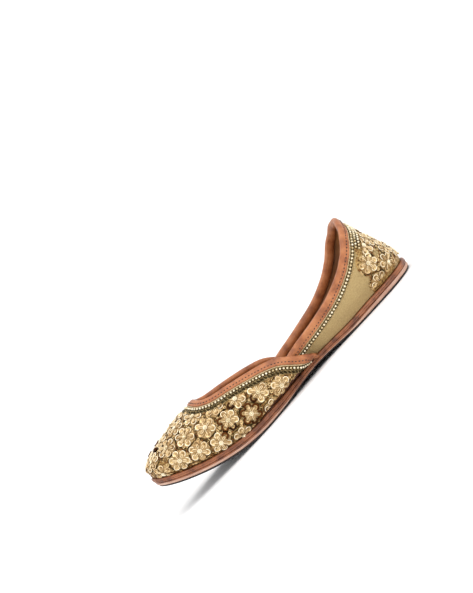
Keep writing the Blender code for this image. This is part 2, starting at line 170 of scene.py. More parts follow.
def curve(table, index, at):
    """One column of a table at places along the first, on a smooth curve that never overshoots."""
    xs = np.array([row[0] for row in table])
    ys = np.array([row[index] for row in table])
    slopes = np.diff(ys) / np.diff(xs)
    product = slopes[:-1] * slopes[1:]
    total = np.where(product > 0, slopes[:-1] + slopes[1:], 1.0)
    tangents = np.concatenate((slopes[:1], np.where(product > 0, 2 * product / total, 0.0), slopes[-1:]))
    at = np.clip(at, xs[0], xs[-1])
    i = np.clip(np.searchsorted(xs, at, side="right") - 1, 0, len(xs) - 2)
    span = xs[i + 1] - xs[i]
    t = (at - xs[i]) / span
    return (
        (1 + 2 * t) * (1 - t) ** 2 * ys[i]
        + t * (1 - t) ** 2 * span * tangents[i]
        + t * t * (3 - 2 * t) * ys[i + 1]
        + t * t * (t - 1) * span * tangents[i + 1]
    )


def unit(vectors):
    return vectors / np.maximum(np.linalg.norm(vectors, axis=-1, keepdims=True), 1e-12)


def run_along(points):
    """Length walked along a path of points, at each of them."""
    return np.concatenate(([0.0], np.cumsum(np.linalg.norm(np.diff(points, axis=0), axis=-1))))


def read_path(wanted, run, values):
    """Columns of a table that follows a path, read at places along its run."""
    return np.stack([np.interp(wanted, run, column) for column in values.T], axis=-1)


def grid_index(rows, columns):
    return np.arange(rows * columns).reshape(rows, columns)


def quads_between(index):
    """Four-sided faces between neighbours in a grid of point numbers."""
    return np.stack((index[:-1, :-1], index[:-1, 1:], index[1:, 1:], index[1:, :-1]), axis=-1)


def smooth_step(low, high, at):
    t = np.clip((at - low) / (high - low), 0.0, 1.0)
    return t * t * (3 - 2 * t)


def rounded_end(distance, reach, power):
    t = np.clip(distance / reach, 0.0, 1.0)
    return (1 - (1 - t) ** power) ** (1 / power)


def sole_half_width(x):
    width = curve(SOLE_PLAN, 1, x / SHOE_LENGTH) * SOLE_BALL_WIDTH / 2
    return width * rounded_end(SHOE_LENGTH - x, TOE_ROUND, TOE_POWER) * rounded_end(x, HEEL_ROUND, HEEL_POWER)


def sole_bottom(x):
    share = x / SHOE_LENGTH
    spring = TOE_SPRING * np.maximum((share - BALL_SHARE) / (1 - BALL_SHARE), 0.0) ** 2
    arch_run = np.clip((share - ARCH_START) / (ARCH_END - ARCH_START), 0.0, 1.0)
    arch = ARCH_RISE * np.sin(math.pi * arch_run) ** 2
    return spring + arch + HEEL_EDGE_LIFT * np.maximum(1 - share / HEEL_LIFT_SHARE, 0.0) ** 2


def layer_height(x, thickness_below, gaps_below):
    return sole_bottom(x) + thickness_below * curve(SOLE_STACK, 1, x / SHOE_LENGTH) + gaps_below * GAP


def feather_height(x):
    return layer_height(x, STACK, 3)


def insole_top(x):
    return feather_height(x) + INSOLE


def vamp_surface(x, angle):
    """Outer face of the vamp at x from the heel and this angle round the section."""
    share = x / SHOE_LENGTH
    wide = curve(VAMP_SECTIONS, 1, share) * BALL_WIDTH / 2 * rounded_end(FRONT - x, TOE_ROUND, TOE_POWER)
    ahead = FEATHER_INSET * smooth_step(BALL_SHARE, 1.0, share)
    low = np.minimum(np.maximum(sole_half_width(x + ahead) - FEATHER_INSET, 0.0), wide)
    foot = feather_height(x)
    widest = foot + curve(VAMP_SECTIONS, 2, share) * INSTEP_HEIGHT
    crown = curve(VAMP_SECTIONS, 3, share) * INSTEP_HEIGHT
    rise = (crown - widest) * rounded_end(FRONT - x, TOE_FRONT_ROUND, TOE_FRONT_POWER)
    up = np.clip(1 - angle / FEATHER_ANGLE, 0.0, 1.0)
    swell = 1 - (1 - up) ** SWELL_POWER
    power = 2 / curve(VAMP_SECTIONS, 4, share)
    turn = np.radians(np.clip(90.0 - np.abs(90.0 - angle), 0.0, 90.0))
    across = np.where(turn < math.pi / 2 - 1e-9, np.cos(turn), 0.0) ** power * wide
    y = np.where(angle < 0, low + (wide - low) * swell, np.copysign(across, 90.0 - angle))
    z = np.where(angle < 0, foot + (widest - foot) * up, widest + rise * np.sin(turn) ** power)
    return np.stack((x + 0 * y, y, z), axis=-1)


def outline_points(count):
    """Half of the sole's outline from the toe's tip to the back of the heel, evenly spaced."""
    xs = SHOE_LENGTH * (1 + np.cos(np.linspace(0, math.pi, 1801))) / 2
    points = np.stack((xs, sole_half_width(xs)), axis=1)
    run = run_along(points)
    wanted = np.linspace(0.0, run[-1], count)
    return read_path(wanted, run, points)


def outline_normals(points):
    mirrored = np.vstack((points[1] * (1, -1), points, points[-2] * (1, -1)))
    back = unit(mirrored[:-2] - mirrored[2:])
    return np.stack((-back[:, 1], back[:, 0]), axis=1)


def inset_outline(inset, count):
    points = outline_points(count)
    moved = points - outline_normals(points) * inset
    moved[0, 1] = moved[-1, 1] = 0.0
    return moved


QUARTER_FEATHER = inset_outline(FEATHER_INSET, 160)[::-1]
QUARTER_NORMALS = outline_normals(QUARTER_FEATHER[::-1])[::-1]
QUARTER_RUN = run_along(QUARTER_FEATHER)


def quarter_plan(run):
    side = np.stack((np.ones_like(run), np.where(run < 0, -1.0, 1.0)), axis=-1)
    at = read_path(np.abs(run), QUARTER_RUN, QUARTER_FEATHER)
    normal = read_path(np.abs(run), QUARTER_RUN, QUARTER_NORMALS)
    return at * side, unit(normal) * side


def quarter_surface(run, height):
    """Outer face of the quarter at this run from the back of the heel, this high above its feather."""
    run = run + 0.0 * height
    at, normal = quarter_plan(run)
    share = height / HEEL_HEIGHT
    side = curve(QUARTER_FORM, 1, share) * HEEL_HEIGHT
    back = curve(QUARTER_FORM, 2, share) * HEEL_HEIGHT
    place = at[..., 0] / SHOE_LENGTH
    lean = 1 - QUARTER_END_LEAN * smooth_step(TUCK_END, QUARTER_TOPLINE[-1][0], place)
    out = side * normal[..., 1] ** 2 * lean - TUCK * smooth_step(TUCK_START, TUCK_END, place)
    x = at[..., 0] + normal[..., 0] * out - back * (1 - (1 - np.abs(normal[..., 0])) ** 2)
    y = at[..., 1] + normal[..., 1] * out
    return np.stack((x, y, feather_height(np.maximum(at[..., 0], 0.0)) + height), axis=-1)


def vamp_rim(run):
    return curve(VAMP_TOPLINE, 1, run) * SHOE_LENGTH, curve(VAMP_TOPLINE, 2, run)


def quarter_rim(run):
    along = run * QUARTER_TOPLINE[-1][0] * SHOE_LENGTH
    at = quarter_plan(along)[0]
    top = curve(QUARTER_TOPLINE, 1, along / SHOE_LENGTH) * HEEL_HEIGHT
    return along, top - feather_height(np.maximum(at[..., 0], 0.0))


def to_world(points):
    return points - np.array((SHOE_LENGTH / 2, 0.0, 0.0))


class Wall:
    """One wall of the upper with its topline, and the places reached by walking down from it."""

    STRIDE = 0.0004

    def __init__(self, surface, rim, steps, lowest, runs, reach):
        self.surface = surface
        self.steps = steps
        self.runs = runs
        ahead = surface(*rim(np.minimum(runs + 0.004, 1.0)))
        behind = surface(*rim(np.maximum(runs - 0.004, 0.0)))
        self.along = unit(ahead - behind)
        u, v = (np.array(value) for value in rim(runs))
        self.depths = [np.zeros_like(u)]
        self.places = [(u.copy(), v.copy())]
        for _ in range(int(reach / self.STRIDE)):
            along_u, along_v = self.slopes(u, v)
            down = unit(np.cross(unit(np.cross(along_u, along_v)), self.along))
            down = np.where((down * along_v).sum(-1, keepdims=True) > 0, -down, down)
            uu = (along_u * along_u).sum(-1)
            uv = (along_u * along_v).sum(-1)
            vv = (along_v * along_v).sum(-1)
            du, dv = ((down * a).sum(-1) * self.STRIDE for a in (along_u, along_v))
            det = uu * vv - uv * uv
            step_u = (du * vv - dv * uv) / det
            step_v = (dv * uu - du * uv) / det
            part = np.clip((v - lowest) / np.maximum(-step_v, 1e-9), 0.0, 1.0)
            u = u + step_u * part
            v = v + step_v * part
            self.depths.append(self.depths[-1] + self.STRIDE * part)
            self.places.append((u.copy(), v.copy()))

    def slopes(self, u, v):
        du, dv = self.steps
        along_u = (self.surface(u + du, v) - self.surface(u - du, v)) / (2 * du)
        along_v = (self.surface(u, v + dv) - self.surface(u, v - dv)) / (2 * dv)
        return along_u, along_v

    def half(self, depth):
        """Points and outward normals this far below the topline, one for each run, on the left side."""
        index = min(max(depth, 0.0) / self.STRIDE, len(self.places) - 1.001)
        low = int(index)
        share = index - low
        u, v = (a + (b - a) * share for a, b in zip(self.places[low], self.places[low + 1]))
        along_u, along_v = self.slopes(u, v)
        out = unit(np.cross(along_v, along_u))
        points = self.surface(u, v)
        if depth < 0:
            rise = unit(np.cross(self.along, out))
            rise = np.where((rise * along_v).sum(-1, keepdims=True) < 0, -rise, rise)
            points = points - rise * depth
        return points, out

    def reached(self, depth):
        """Which runs still have wall at this depth."""
        index = min(int(depth / self.STRIDE), len(self.depths) - 1)
        return self.depths[index] >= index * self.STRIDE - 1e-6


class Line:
    """A path on the upper with its outward normals, measured along its length."""

    def __init__(self, points, normals):
        self.points = points
        self.normals = normals
        self.run = run_along(points)
        self.length = self.run[-1]

    def at(self, run):
        points = read_path(run, self.run, self.points)
        normals = unit(read_path(run, self.run, self.normals))
        ahead, behind = (read_path(run + step, self.run, self.points) for step in (0.0006, -0.0006))
        return points, normals, unit(ahead - behind)


def both_sides(points, normals, middle_last):
    """A left half joined to its mirror image, with the middle either last or first in the half."""
    flip = np.array((1.0, -1.0, 1.0))
    if middle_last:
        return np.vstack((points, points[::-1][1:] * flip)), np.vstack((normals, normals[::-1][1:] * flip))
    return np.vstack((points[::-1], points[1:] * flip)), np.vstack((normals[::-1], normals[1:] * flip))


# Mesh building


class Piece:
    """Points, faces and flat cloth coordinates gathered into one object."""

    def __init__(self):
        self.points = []
        self.faces = []
        self.flats = []
        self.kinds = []
        self.count = 0

    def add(self, points, faces, flats=None, kind=0):
        points = np.asarray(points, float).reshape(-1, 3)
        flats = np.zeros((len(points), 2)) if flats is None else np.asarray(flats, float).reshape(-1, 2)
        self.points.append(points)
        self.flats.append(flats)
        for group in faces:
            self.faces.append(np.asarray(group) + self.count)
            self.kinds.append(np.full(len(group), kind))
        self.count += len(points)

    def more_faces(self, group, kind=0):
        """Faces between points that are already in the piece."""
        self.faces.append(group)
        self.kinds.append(np.full(len(group), kind))

    def sheet(self, grid, flats=None, closed=False, kind=0):
        """Quads between the rows of a grid of points. A closed sheet joins each row's end to its start."""
        rows, columns = grid.shape[:2]
        index = grid_index(rows, columns)
        if closed:
            index = np.hstack((index, index[:, :1]))
        quads = quads_between(index)
        self.add(grid, [quads.reshape(-1, 4)], flats, kind)

    def tube(self, points, normals, profile, taper=True):
        """A closed section of (side, up) offsets swept along a path."""
        along = unit(np.gradient(points, axis=0))
        side = unit(np.cross(along, normals))
        up = np.cross(side, along)
        size = np.ones(len(points))
        if taper:
            size[[0, -1]] = 0.25
        profile = np.asarray(profile)
        offsets = side[:, None] * profile[None, :, :1] + up[:, None] * profile[None, :, 1:]
        grid = points[:, None] + offsets * size[:, None, None]
        run = run_along(points)
        turn = np.arange(len(profile)) / len(profile)
        flats = np.stack(np.broadcast_arrays(run[:, None], turn[None, :]), axis=-1)
        self.sheet(grid, flats, closed=True)

    def thread(self, points, normals, radius, sides=6, flat=1.0):
        self.tube(points, normals, round_profile(radius, sides, flat))

    def stamp(self, template, origins, normals, along, scale=1.0):
        """A copy of a template at each origin, standing along its normal."""
        shape, groups = template
        along = unit(along - normals * (along * normals).sum(-1, keepdims=True))
        across = np.cross(normals, along)
        axes = np.stack((along, across, normals), axis=-1)
        scale = np.broadcast_to(scale, (len(origins),))
        points = origins[:, None] + np.einsum("nij,kj->nki", axes, shape) * scale[:, None, None]
        shift = np.arange(len(origins)) * len(shape)
        faces = [(group[None] + shift[:, None, None]).reshape(-1, group.shape[1]) for group in groups]
        self.add(points, faces)

    def finish(self, name, materials, slot=None, replaces=(), world=True):
        points = np.vstack(self.points)
        if world:
            points = to_world(points)
        corners = np.concatenate([group.ravel() for group in self.faces])
        sizes = np.concatenate([np.full(len(group), group.shape[1]) for group in self.faces])
        mesh = bpy.data.meshes.new(name)
        mesh.vertices.add(len(points))
        mesh.vertices.foreach_set("co", points.ravel())
        mesh.loops.add(len(corners))
        mesh.loops.foreach_set("vertex_index", corners.astype(np.int32))
        mesh.polygons.add(len(sizes))
        mesh.polygons.foreach_set("loop_start", np.concatenate(([0], np.cumsum(sizes)[:-1])).astype(np.int32))
        mesh.polygons.foreach_set("material_index", np.concatenate(self.kinds).astype(np.int32))
        mesh.polygons.foreach_set("use_smooth", np.ones(len(sizes), bool))
        mesh.update(calc_edges=True)
        layer = mesh.uv_layers.new(name="flat")
        layer.data.foreach_set("uv", np.vstack(self.flats)[corners].ravel())
        for material in materials:
            mesh.materials.append(material)
        obj = bpy.data.objects.new(name, mesh)
        bpy.context.scene.collection.objects.link(obj)
        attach(obj, "root")
        if replaces:
            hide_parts(*replaces)
        return obj


def round_profile(radius, sides=6, flat=1.0):
    turns = np.arange(sides) * 2 * math.pi / sides
    return np.stack((np.cos(turns) * radius, np.sin(turns) * radius * flat), axis=-1)


def revolved(profile, segments, ring=False):
    """A template turned round its normal from (radius, height) points. A ring's profile closes on itself."""
    profile = np.array(profile)
    turns = np.arange(segments) * 2 * math.pi / segments
    points = np.stack(
        (
            profile[:, None, 0] * np.cos(turns),
            profile[:, None, 0] * np.sin(turns),
            profile[:, None, 1] + 0 * turns,
        ),
        axis=-1,
    )
    index = np.arange(points.size // 3).reshape(len(profile), segments)
    caps = [] if ring else [index[0][None, ::-1], index[-1][None]]
    if ring:
        index = np.vstack((index, index[:1]))
    index = np.hstack((index, index[:, :1]))
    quads = quads_between(index)
    return points.reshape(-1, 3), [quads.reshape(-1, 4), *caps]


def bead_template(size, segments=10, rings=7):
    turns = np.linspace(-0.46, 0.46, rings) * math.pi
    return revolved(np.stack((np.cos(turns), np.sin(turns)), axis=-1) * size / 2, segments)


def sequin_template(size, segments=18):
    edge = size / 2
    profile = (
        (edge, 0.10 * edge), (edge * 0.97, 0.17 * edge), (edge * 0.84, 0.16 * edge),
        (edge * 0.55, -0.02 * edge), (edge * 0.26, -0.10 * edge), (edge * 0.22, -0.16 * edge),
        (edge * 0.55, -0.09 * edge), (edge * 0.86, 0.07 * edge),
    )
    return revolved(profile, segments, ring=True)


def purl_template(length, radius):
    """A short cut length of coiled wire, lying along its first axis."""
    stations = ((-1.0, 0.35), (-0.92, 1.0), (-0.45, 0.88), (0.0, 1.0), (0.45, 0.88), (0.92, 1.0), (1.0, 0.35))
    turns = np.arange(6) * math.pi / 3
    points = np.array(
        [
            [(at * length / 2, math.cos(t) * radius * size, math.sin(t) * radius * size) for t in turns]
            for at, size in stations
        ]
    )
    index = np.arange(len(stations) * 6).reshape(-1, 6)
    caps = [index[0][None, ::-1], index[-1][None]]
    index = np.hstack((index, index[:, :1]))
    quads = quads_between(index)
    return points.reshape(-1, 3), [quads.reshape(-1, 4), *caps]


# Materials


class Finish:
    """A Principled material and short calls for the nodes that feed it."""

    def __init__(self, name, colour, roughness, metallic=0.0, coat=0.0, sheen=0.0, specular=0.5):
        self.material = bpy.data.materials.new(name)
        self.material.use_nodes = True
        self.nodes = self.material.node_tree.nodes
        self.links = self.material.node_tree.links
        self.shader = self.nodes["Principled BSDF"]
        self.set("Base Color", (*colour, 1.0))
        self.set("Roughness", roughness)
        self.set("Metallic", metallic)
        self.set("Coat Weight", coat)
        self.set("Coat Roughness", 0.25)
        self.set("Sheen Weight", sheen)
        self.set("Specular IOR Level", specular)
        self.relief = None

    def set(self, socket, value):
        self.shader.inputs[socket].default_value = value

    def node(self, kind, **settings):
        node = self.nodes.new("ShaderNode" + kind)
        for name, value in settings.items():
            setattr(node, name, value)
        return node

    def place(self, stretch=(1.0, 1.0, 1.0), flat=False):
        """Coordinates in millimetres, in space or on the flat cloth."""
        flat_node = ("UVMap", {"uv_map": "flat"}, "UV")
        kind, settings, output = flat_node if flat else ("TexCoord", {}, "Object")
        source = self.node(kind, **settings).outputs[output]
        mapping = self.node("Mapping")
        mapping.inputs["Scale"].default_value = [1000.0 * s for s in stretch]
        self.links.new(source, mapping.inputs["Vector"])
        return mapping.outputs[0]

    def noise(self, size_mm, detail=3.0, roughness=0.55, stretch=(1.0, 1.0, 1.0), flat=False):
        node = self.node("TexNoise")
        node.inputs["Scale"].default_value = 1 / size_mm
        node.inputs["Detail"].default_value = detail
        node.inputs["Roughness"].default_value = roughness
        self.links.new(self.place(stretch, flat), node.inputs["Vector"])
        return node.outputs["Fac"]

    def cells(self, size_mm):
        node = self.node("TexVoronoi")
        node.inputs["Scale"].default_value = 1 / size_mm
        self.links.new(self.place(), node.inputs["Vector"])
        return node.outputs["Distance"]

    def islands(self):
        return self.node("NewGeometry").outputs["Random Per Island"]

    def maths(self, operation, a, b):
        node = self.node("Math", operation=operation)
        for socket, value in zip(node.inputs, (a, b)):
            if isinstance(value, (int, float)):
                socket.default_value = value
            else:
                self.links.new(value, socket)
        return node.outputs[0]

    def waves(self, across_mm, along_mm):
        """A plain weave on the flat cloth: threads over and under at these spacings."""
        parts = self.node("SeparateXYZ")
        self.links.new(self.place(flat=True), parts.inputs[0])
        across = self.maths("SINE", self.maths("MULTIPLY", parts.outputs[0], 2 * math.pi / across_mm), 0.0)
        along = self.maths("SINE", self.maths("MULTIPLY", parts.outputs[1], 2 * math.pi / along_mm), 0.0)
        return self.maths("MULTIPLY", across, along)

    def twist(self, pitch_mm):
        """Slanted ridges round a twisted thread whose flat coordinates are length and turn."""
        parts = self.node("SeparateXYZ")
        self.links.new(self.node("UVMap", uv_map="flat").outputs[0], parts.inputs[0])
        along = self.maths("MULTIPLY", parts.outputs[0], 2000 * math.pi / pitch_mm)
        turn = self.maths("MULTIPLY", parts.outputs[1], 2 * math.pi)
        return self.maths("SINE", self.maths("ADD", along, turn), 0.0)

    def tint(self, factor, *stops):
        """Colour from a factor, through (place, colour) stops."""
        ramp = self.node("ValToRGB")
        elements = ramp.color_ramp.elements
        while len(elements) < len(stops):
            elements.new(0.5)
        for element, (place, colour) in zip(elements, stops):
            element.position = place
            element.color = (*colour, 1.0)
        self.links.new(factor, ramp.inputs[0])
        return ramp.outputs[0]

    def blend(self, factor, a, b, mode="MIX"):
        mix = self.node("Mix", data_type="RGBA", blend_type=mode)
        for socket, value in ((mix.inputs["Factor"], factor), (mix.inputs[6], a), (mix.inputs[7], b)):
            if isinstance(value, (int, float)):
                socket.default_value = value
            elif isinstance(value, tuple):
                socket.default_value = (*value, 1.0)
            else:
                self.links.new(value, socket)
        return mix.outputs[2]

    def scaled(self, factor, low, high):
        node = self.node("MapRange")
        node.inputs["To Min"].default_value = low
        node.inputs["To Max"].default_value = high
        self.links.new(factor, node.inputs["Value"])
        return node.outputs[0]

    def colour(self, output):
        self.links.new(output, self.shader.inputs["Base Color"])

    def rough(self, output):
        self.links.new(output, self.shader.inputs["Roughness"])

    def bump(self, height, depth_mm, strength=1.0):
        node = self.node("Bump")
        node.inputs["Distance"].default_value = depth_mm / 1000
        node.inputs["Strength"].default_value = strength
        self.links.new(height, node.inputs["Height"])
        if self.relief is not None:
            self.links.new(self.relief, node.inputs["Normal"])
        self.relief = node.outputs[0]
        self.links.new(self.relief, self.shader.inputs["Normal"])


def leather(name, light, mid, dark, roughness, grain=0.06, coat=0.0, cloud_size=9.0):
    """Smooth vegetable-tanned leather: cloudy colour, fine pores and soft creases."""
    finish = Finish(name, mid, roughness, coat=coat)
    cloud = finish.noise(cloud_size, detail=2.0)
    pores = finish.noise(0.9, detail=2.0)
    base = finish.tint(cloud, (0.30, dark), (0.50, mid), (0.72, light))
    finish.colour(finish.blend(finish.scaled(pores, 0.0, 0.35), base, dark, "MULTIPLY"))
    finish.rough(finish.scaled(finish.noise(3.0), roughness - 0.10, roughness + 0.12))
    finish.bump(finish.noise(5.0, detail=2.0), 0.12)
    finish.bump(finish.cells(0.55), grain)
    return finish.material


def tissue_cloth():
    """Plain gold tissue: metallic weft on a silk warp, with slubs."""
    finish = Finish("gold_tissue", rgb(184, 158, 106), 0.45, metallic=0.35, sheen=0.1)
    slub = finish.noise(0.9, detail=2.0, stretch=(0.6, 1.2, 1.0), flat=True)
    cloud = finish.noise(12.0)
    base = finish.tint(slub, (0.28, rgb(168, 140, 88)), (0.52, rgb(186, 160, 108)), (0.75, rgb(202, 178, 126)))
    weave = finish.waves(0.62, 0.62)
    base = finish.blend(finish.scaled(weave, 0.0, 0.35), base, rgb(150, 120, 66), "MULTIPLY")
    finish.colour(finish.blend(finish.scaled(cloud, 0.0, 0.3), base, rgb(174, 148, 96), "MIX"))
    finish.bump(weave, 0.10)
    finish.bump(slub, 0.05)
    return finish.material


def ground_cloth():
    """The brocade behind the embroidery, darker between its stitches."""
    finish = Finish("brocade_ground", rgb(150, 112, 58), 0.45, metallic=0.5)
    patches = finish.noise(1.6, detail=4.0)
    base = finish.tint(patches, (0.30, rgb(70, 44, 18)), (0.48, rgb(150, 112, 58)), (0.70, rgb(205, 172, 108)))
    finish.colour(base)
    finish.bump(patches, 0.35)
    finish.bump(finish.waves(0.6, 0.6), 0.08)
    return finish.material


def cell_cloth():
    """The pale gold tissue under each flower."""
    finish = Finish("cell_tissue", rgb(196, 166, 114), 0.42, metallic=0.45)
    grain = finish.noise(0.5, detail=2.0)
    cloud = finish.noise(4.0)
    base = finish.tint(cloud, (0.30, rgb(168, 136, 84)), (0.55, rgb(196, 166, 116)), (0.75, rgb(218, 192, 144)))
    finish.colour(finish.blend(finish.scaled(grain, 0.0, 0.5), base, rgb(160, 120, 56), "MULTIPLY"))
    finish.bump(grain, 0.12)
    return finish.material


def metal_thread(name, light, dark, roughness=0.32, pitch_mm=0.7):
    finish = Finish(name, light, roughness, metallic=0.85)
    twist = finish.twist(pitch_mm)
    finish.colour(finish.blend(finish.scaled(finish.noise(2.2), 0.0, 0.8), light, dark))
    finish.bump(twist, 0.12)
    return finish.material


def stamped_metal(name, light, dark, roughness, metallic=1.0, coat=0.3):
    """Sequins and cut wire: each one a little different in tone."""
    finish = Finish(name, light, roughness, metallic=metallic, coat=coat)
    finish.colour(finish.tint(finish.islands(), (0.0, dark), (0.45, light), (1.0, light)))
    finish.rough(finish.scaled(finish.islands(), roughness - 0.08, roughness + 0.12))
    finish.bump(finish.noise(0.6), 0.05)
    return finish.material


def bead_glass():
    finish = Finish("bead", rgb(236, 216, 168), 0.22, metallic=0.3, coat=0.5)
    tones = ((0.0, rgb(190, 166, 118)), (0.4, rgb(226, 210, 172)), (1.0, rgb(240, 228, 200)))
    finish.colour(finish.tint(finish.islands(), *tones))
    finish.bump(finish.noise(0.7), 0.03)
    return finish.material


def cotton_thread(name, light, dark):
    finish = Finish(name, light, 0.75, sheen=0.2)
    twist = finish.twist(0.8)
    finish.colour(finish.tint(finish.scaled(twist, 0.0, 1.0), (0.0, dark), (1.0, light)))
    finish.bump(twist, 0.10)
    return finish.material


def black_cloth():
    finish = Finish("black_cloth", rgb(30, 26, 23), 0.8, sheen=0.15)
    weave = finish.noise(0.7, detail=2.0)
    finish.colour(finish.tint(weave, (0.3, rgb(18, 15, 13)), (0.7, rgb(42, 37, 33))))
    finish.bump(weave, 0.08)
    return finish.material


def sole_rubber():
    finish = Finish("sole_rubber", rgb(28, 20, 18), 0.72)
    finish.colour(finish.tint(finish.noise(4.0), (0.3, rgb(18, 12, 11)), (0.7, rgb(44, 32, 28))))
    finish.bump(finish.cells(2.4), 0.30)
    finish.bump(finish.noise(0.8), 0.08)
    return finish.material


def sole_edge_leather():
    """Pale edge of the leather sole, with the fine lines of its layers along it."""
    finish = Finish("sole_edge", rgb(206, 172, 152), 0.55)
    lines = finish.noise(0.5, detail=2.0, stretch=(0.05, 0.05, 1.0))
    cloud = finish.noise(14.0)
    base = finish.tint(cloud, (0.3, rgb(184, 144, 124)), (0.7, rgb(212, 180, 160)))
    finish.colour(finish.blend(finish.scaled(lines, 0.0, 0.5), base, rgb(170, 120, 92), "MULTIPLY"))
    finish.bump(lines, 0.10)
    return finish.material


# Sole


def fine_layer(name, below, thickness, gaps_below, edge, materials, slot, node, band=None):
    """One layer of the stack. Edge rows give the height in the layer and how far the side is set in.

    A band (row height, shares of the length, heights) moves one row up and down along the shoe, and the
    faces above it take the second material.
    """
    count = 260
    rows = []
    for up, inset in edge:
        outline = inset_outline(inset, count)
        x = np.clip(outline[:, 0], 0.0, SHOE_LENGTH)
        if band:
            level = np.interp(x / SHOE_LENGTH, band[1], band[2])
            up = np.where(up <= band[0], up / band[0] * level, 1 - (1 - up) / (1 - band[0]) * (1 - level))
        height = layer_height(x, below + up * thickness, gaps_below)
        rows.append(np.stack((x, np.maximum(outline[:, 1], 0.0), height), axis=-1))
    inner = [rows[0] * (1.0, share, 1.0) for share in (0.0, 0.4, 0.8)]
    upper = [rows[-1] * (1.0, share, 1.0) for share in (0.8, 0.4, 0.0)]
    half = np.array([*inner, *rows, *upper])
    second = 3 + [row[0] for row in edge].index(band[0]) if band else len(half)
    piece = Piece()
    flats = half[..., :2]
    for kind, part in ((0, slice(0, second + 1)), (1, slice(second, None))):
        grid, flat = half[part], flats[part]
        if len(grid) > 1:
            piece.sheet(grid, flat, kind=kind)
            piece.sheet(grid[::-1] * (1.0, -1.0, 1.0), flat[::-1], kind=kind)
    return piece.finish(name, materials, slot, [node])


def make_sole():
    rubber = ((0.0, 0.0020), (0.15, 0.0015), (0.4, 0.0013), (1.0, 0.0013))
    edge = (
        (0.0, 0.0010), (0.10, 0.0006), (0.3, 0.0005), (0.62, 0.00055), (0.70, 0.0007), (0.78, 0.00055),
        (1.0, 0.0005),
    )
    rand = (
        (0.0, 0.0006), (0.08, 0.0002), (0.20, 0.0), (0.34, 0.00005), (0.40, 0.0004), (0.45, 0.0004),
        (0.51, 0.00005), (0.66, 0.00008), (0.78, 0.0003), (0.88, 0.0006), (0.96, 0.0010), (1.0, 0.0016),
    )
    rand_leather = leather("rand_leather", rgb(166, 102, 62), rgb(142, 82, 46), rgb(88, 44, 20), 0.45, 0.05, 0.1)
    band = (
        0.62,
        (0.0, 0.14, 0.25, 0.34, 0.52, 0.60, 0.68, 0.90, 1.0),
        (0.95, 0.92, 0.62, 0.18, 0.12, 0.42, 0.60, 0.64, 0.68),
    )
    fine_layer("tread", 0.0, RUBBER, 0, rubber, [sole_rubber()], "rubber", "rubber_outsole")
    sides = [sole_edge_leather(), rand_leather]
    fine_layer("sole_side", RUBBER, SOLE_LEATHER, 1, edge, sides, "sole_leather", "leather_sole", band)
    fine_layer("rand", RUBBER + SOLE_LEATHER, RAND, 2, rand, [rand_leather], "rand_leather", "rand_midsole")


# Walls of the upper


def wall_object(piece, name, materials, slot, node):
    """A sheet given its thickness inwards, with the lining as its second material."""
    obj = piece.finish(name, materials, slot, [node])
    mirror = obj.modifiers.new("Both halves", "MIRROR")
    mirror.use_axis = (False, True, False)
    mirror.use_mirror_merge = True
    mirror.merge_threshold = 0.00001
    wall = obj.modifiers.new("Wall", "SOLIDIFY")
    wall.thickness = WALL
    wall.offset = -1.0
    wall.use_quality_normals = True
    wall.material_offset = 2
    wall.material_offset_rim = 2
    return obj


def arcs(grid):
    """Flat coordinates of a grid of points: lengths along its rows and down its columns."""
    steps = np.linalg.norm(np.diff(grid, axis=1), axis=-1)
    down = np.concatenate((np.zeros((len(grid), 1)), np.cumsum(steps, axis=1)), axis=1)
    middle = grid[:, grid.shape[1] // 2]
    along = run_along(middle)
    return np.stack(np.broadcast_arrays(along[:, None], down), axis=-1)


TOPLINE_START = 0.010
RIM_COUNT = 240
FLOWER_GROUND = 0.0092
WING_TIP = 0.14
TRIM_START = 0.085
WING_EDGE = (
    # share of the length, height above the feather at which the wing's cloth ends
    (0.36, 0.0034), (0.42, 0.0034), (0.47, 0.0030), (0.54, 0.0024), (0.60, 0.0018), (0.655, 0.0004),
    (0.70, 0.0),
)


def wing_droop(runs):
    """How much of the wing's tip is turned down over the edge of the sole, at places along the topline."""
    return 1 - smooth_step(0.0, WING_TIP, runs)


def vamp_grid():
    runs = np.linspace(TOPLINE_START, 1.0, 1200)
    x_rim, angle_rim = vamp_rim(runs)
    angle_rim = np.maximum(angle_rim - 9.0 * wing_droop(runs), FEATHER_ANGLE + 0.5)
    wing = np.linspace(x_rim[0], x_rim[-1], 120)
    top = np.interp(wing, x_rim, angle_rim)
    ahead = np.sin(np.linspace(0, math.pi / 2, 71)[1:])
    x = np.concatenate((wing, x_rim[-1] + (FRONT - x_rim[-1]) * ahead))
    top = np.concatenate((top, np.full(70, 90.0)))
    shares = np.linspace(0, 1, 57)
    angles = FEATHER_ANGLE + (top[:, None] - FEATHER_ANGLE) * shares
    grid = vamp_surface(x[:, None] + 0 * angles, angles)
    grid[120:, -1, 1] = 0.0
    return grid


def quarter_grid():
    along, top = quarter_rim(np.linspace(0, 1, 150))
    heights = top[:, None] * np.linspace(0, 1, 45)
    grid = quarter_surface(along[:, None] + 0 * heights, heights)
    grid[0, :, 1] = 0.0
    return grid


def two_cloths(grid, is_second):
    """A sheet whose chosen faces take the second material."""
    quads = quads_between(grid_index(*grid.shape[:2]))
    second = is_second((grid[:-1, :-1] + grid[1:, 1:]) / 2)
    piece = Piece()
    piece.add(grid, [quads[~second]], arcs(grid))
    piece.more_faces(quads[second], 1)
    return piece


def below_wing_edge(middle):
    return middle[..., 2] - feather_height(middle[..., 0]) < curve(WING_EDGE, 1, middle[..., 0] / SHOE_LENGTH)


def make_vamp(grid, brocade, dark, lining):
    # Faces below the wing's edge take brown leather darkened with painted shade, for the shadowed gap between the
    # wing's cloth and the rand.
    piece = two_cloths(grid, below_wing_edge)
    return wall_object(piece, "vamp_cloth", [brocade, dark, lining, lining], "brocade", "vamp")


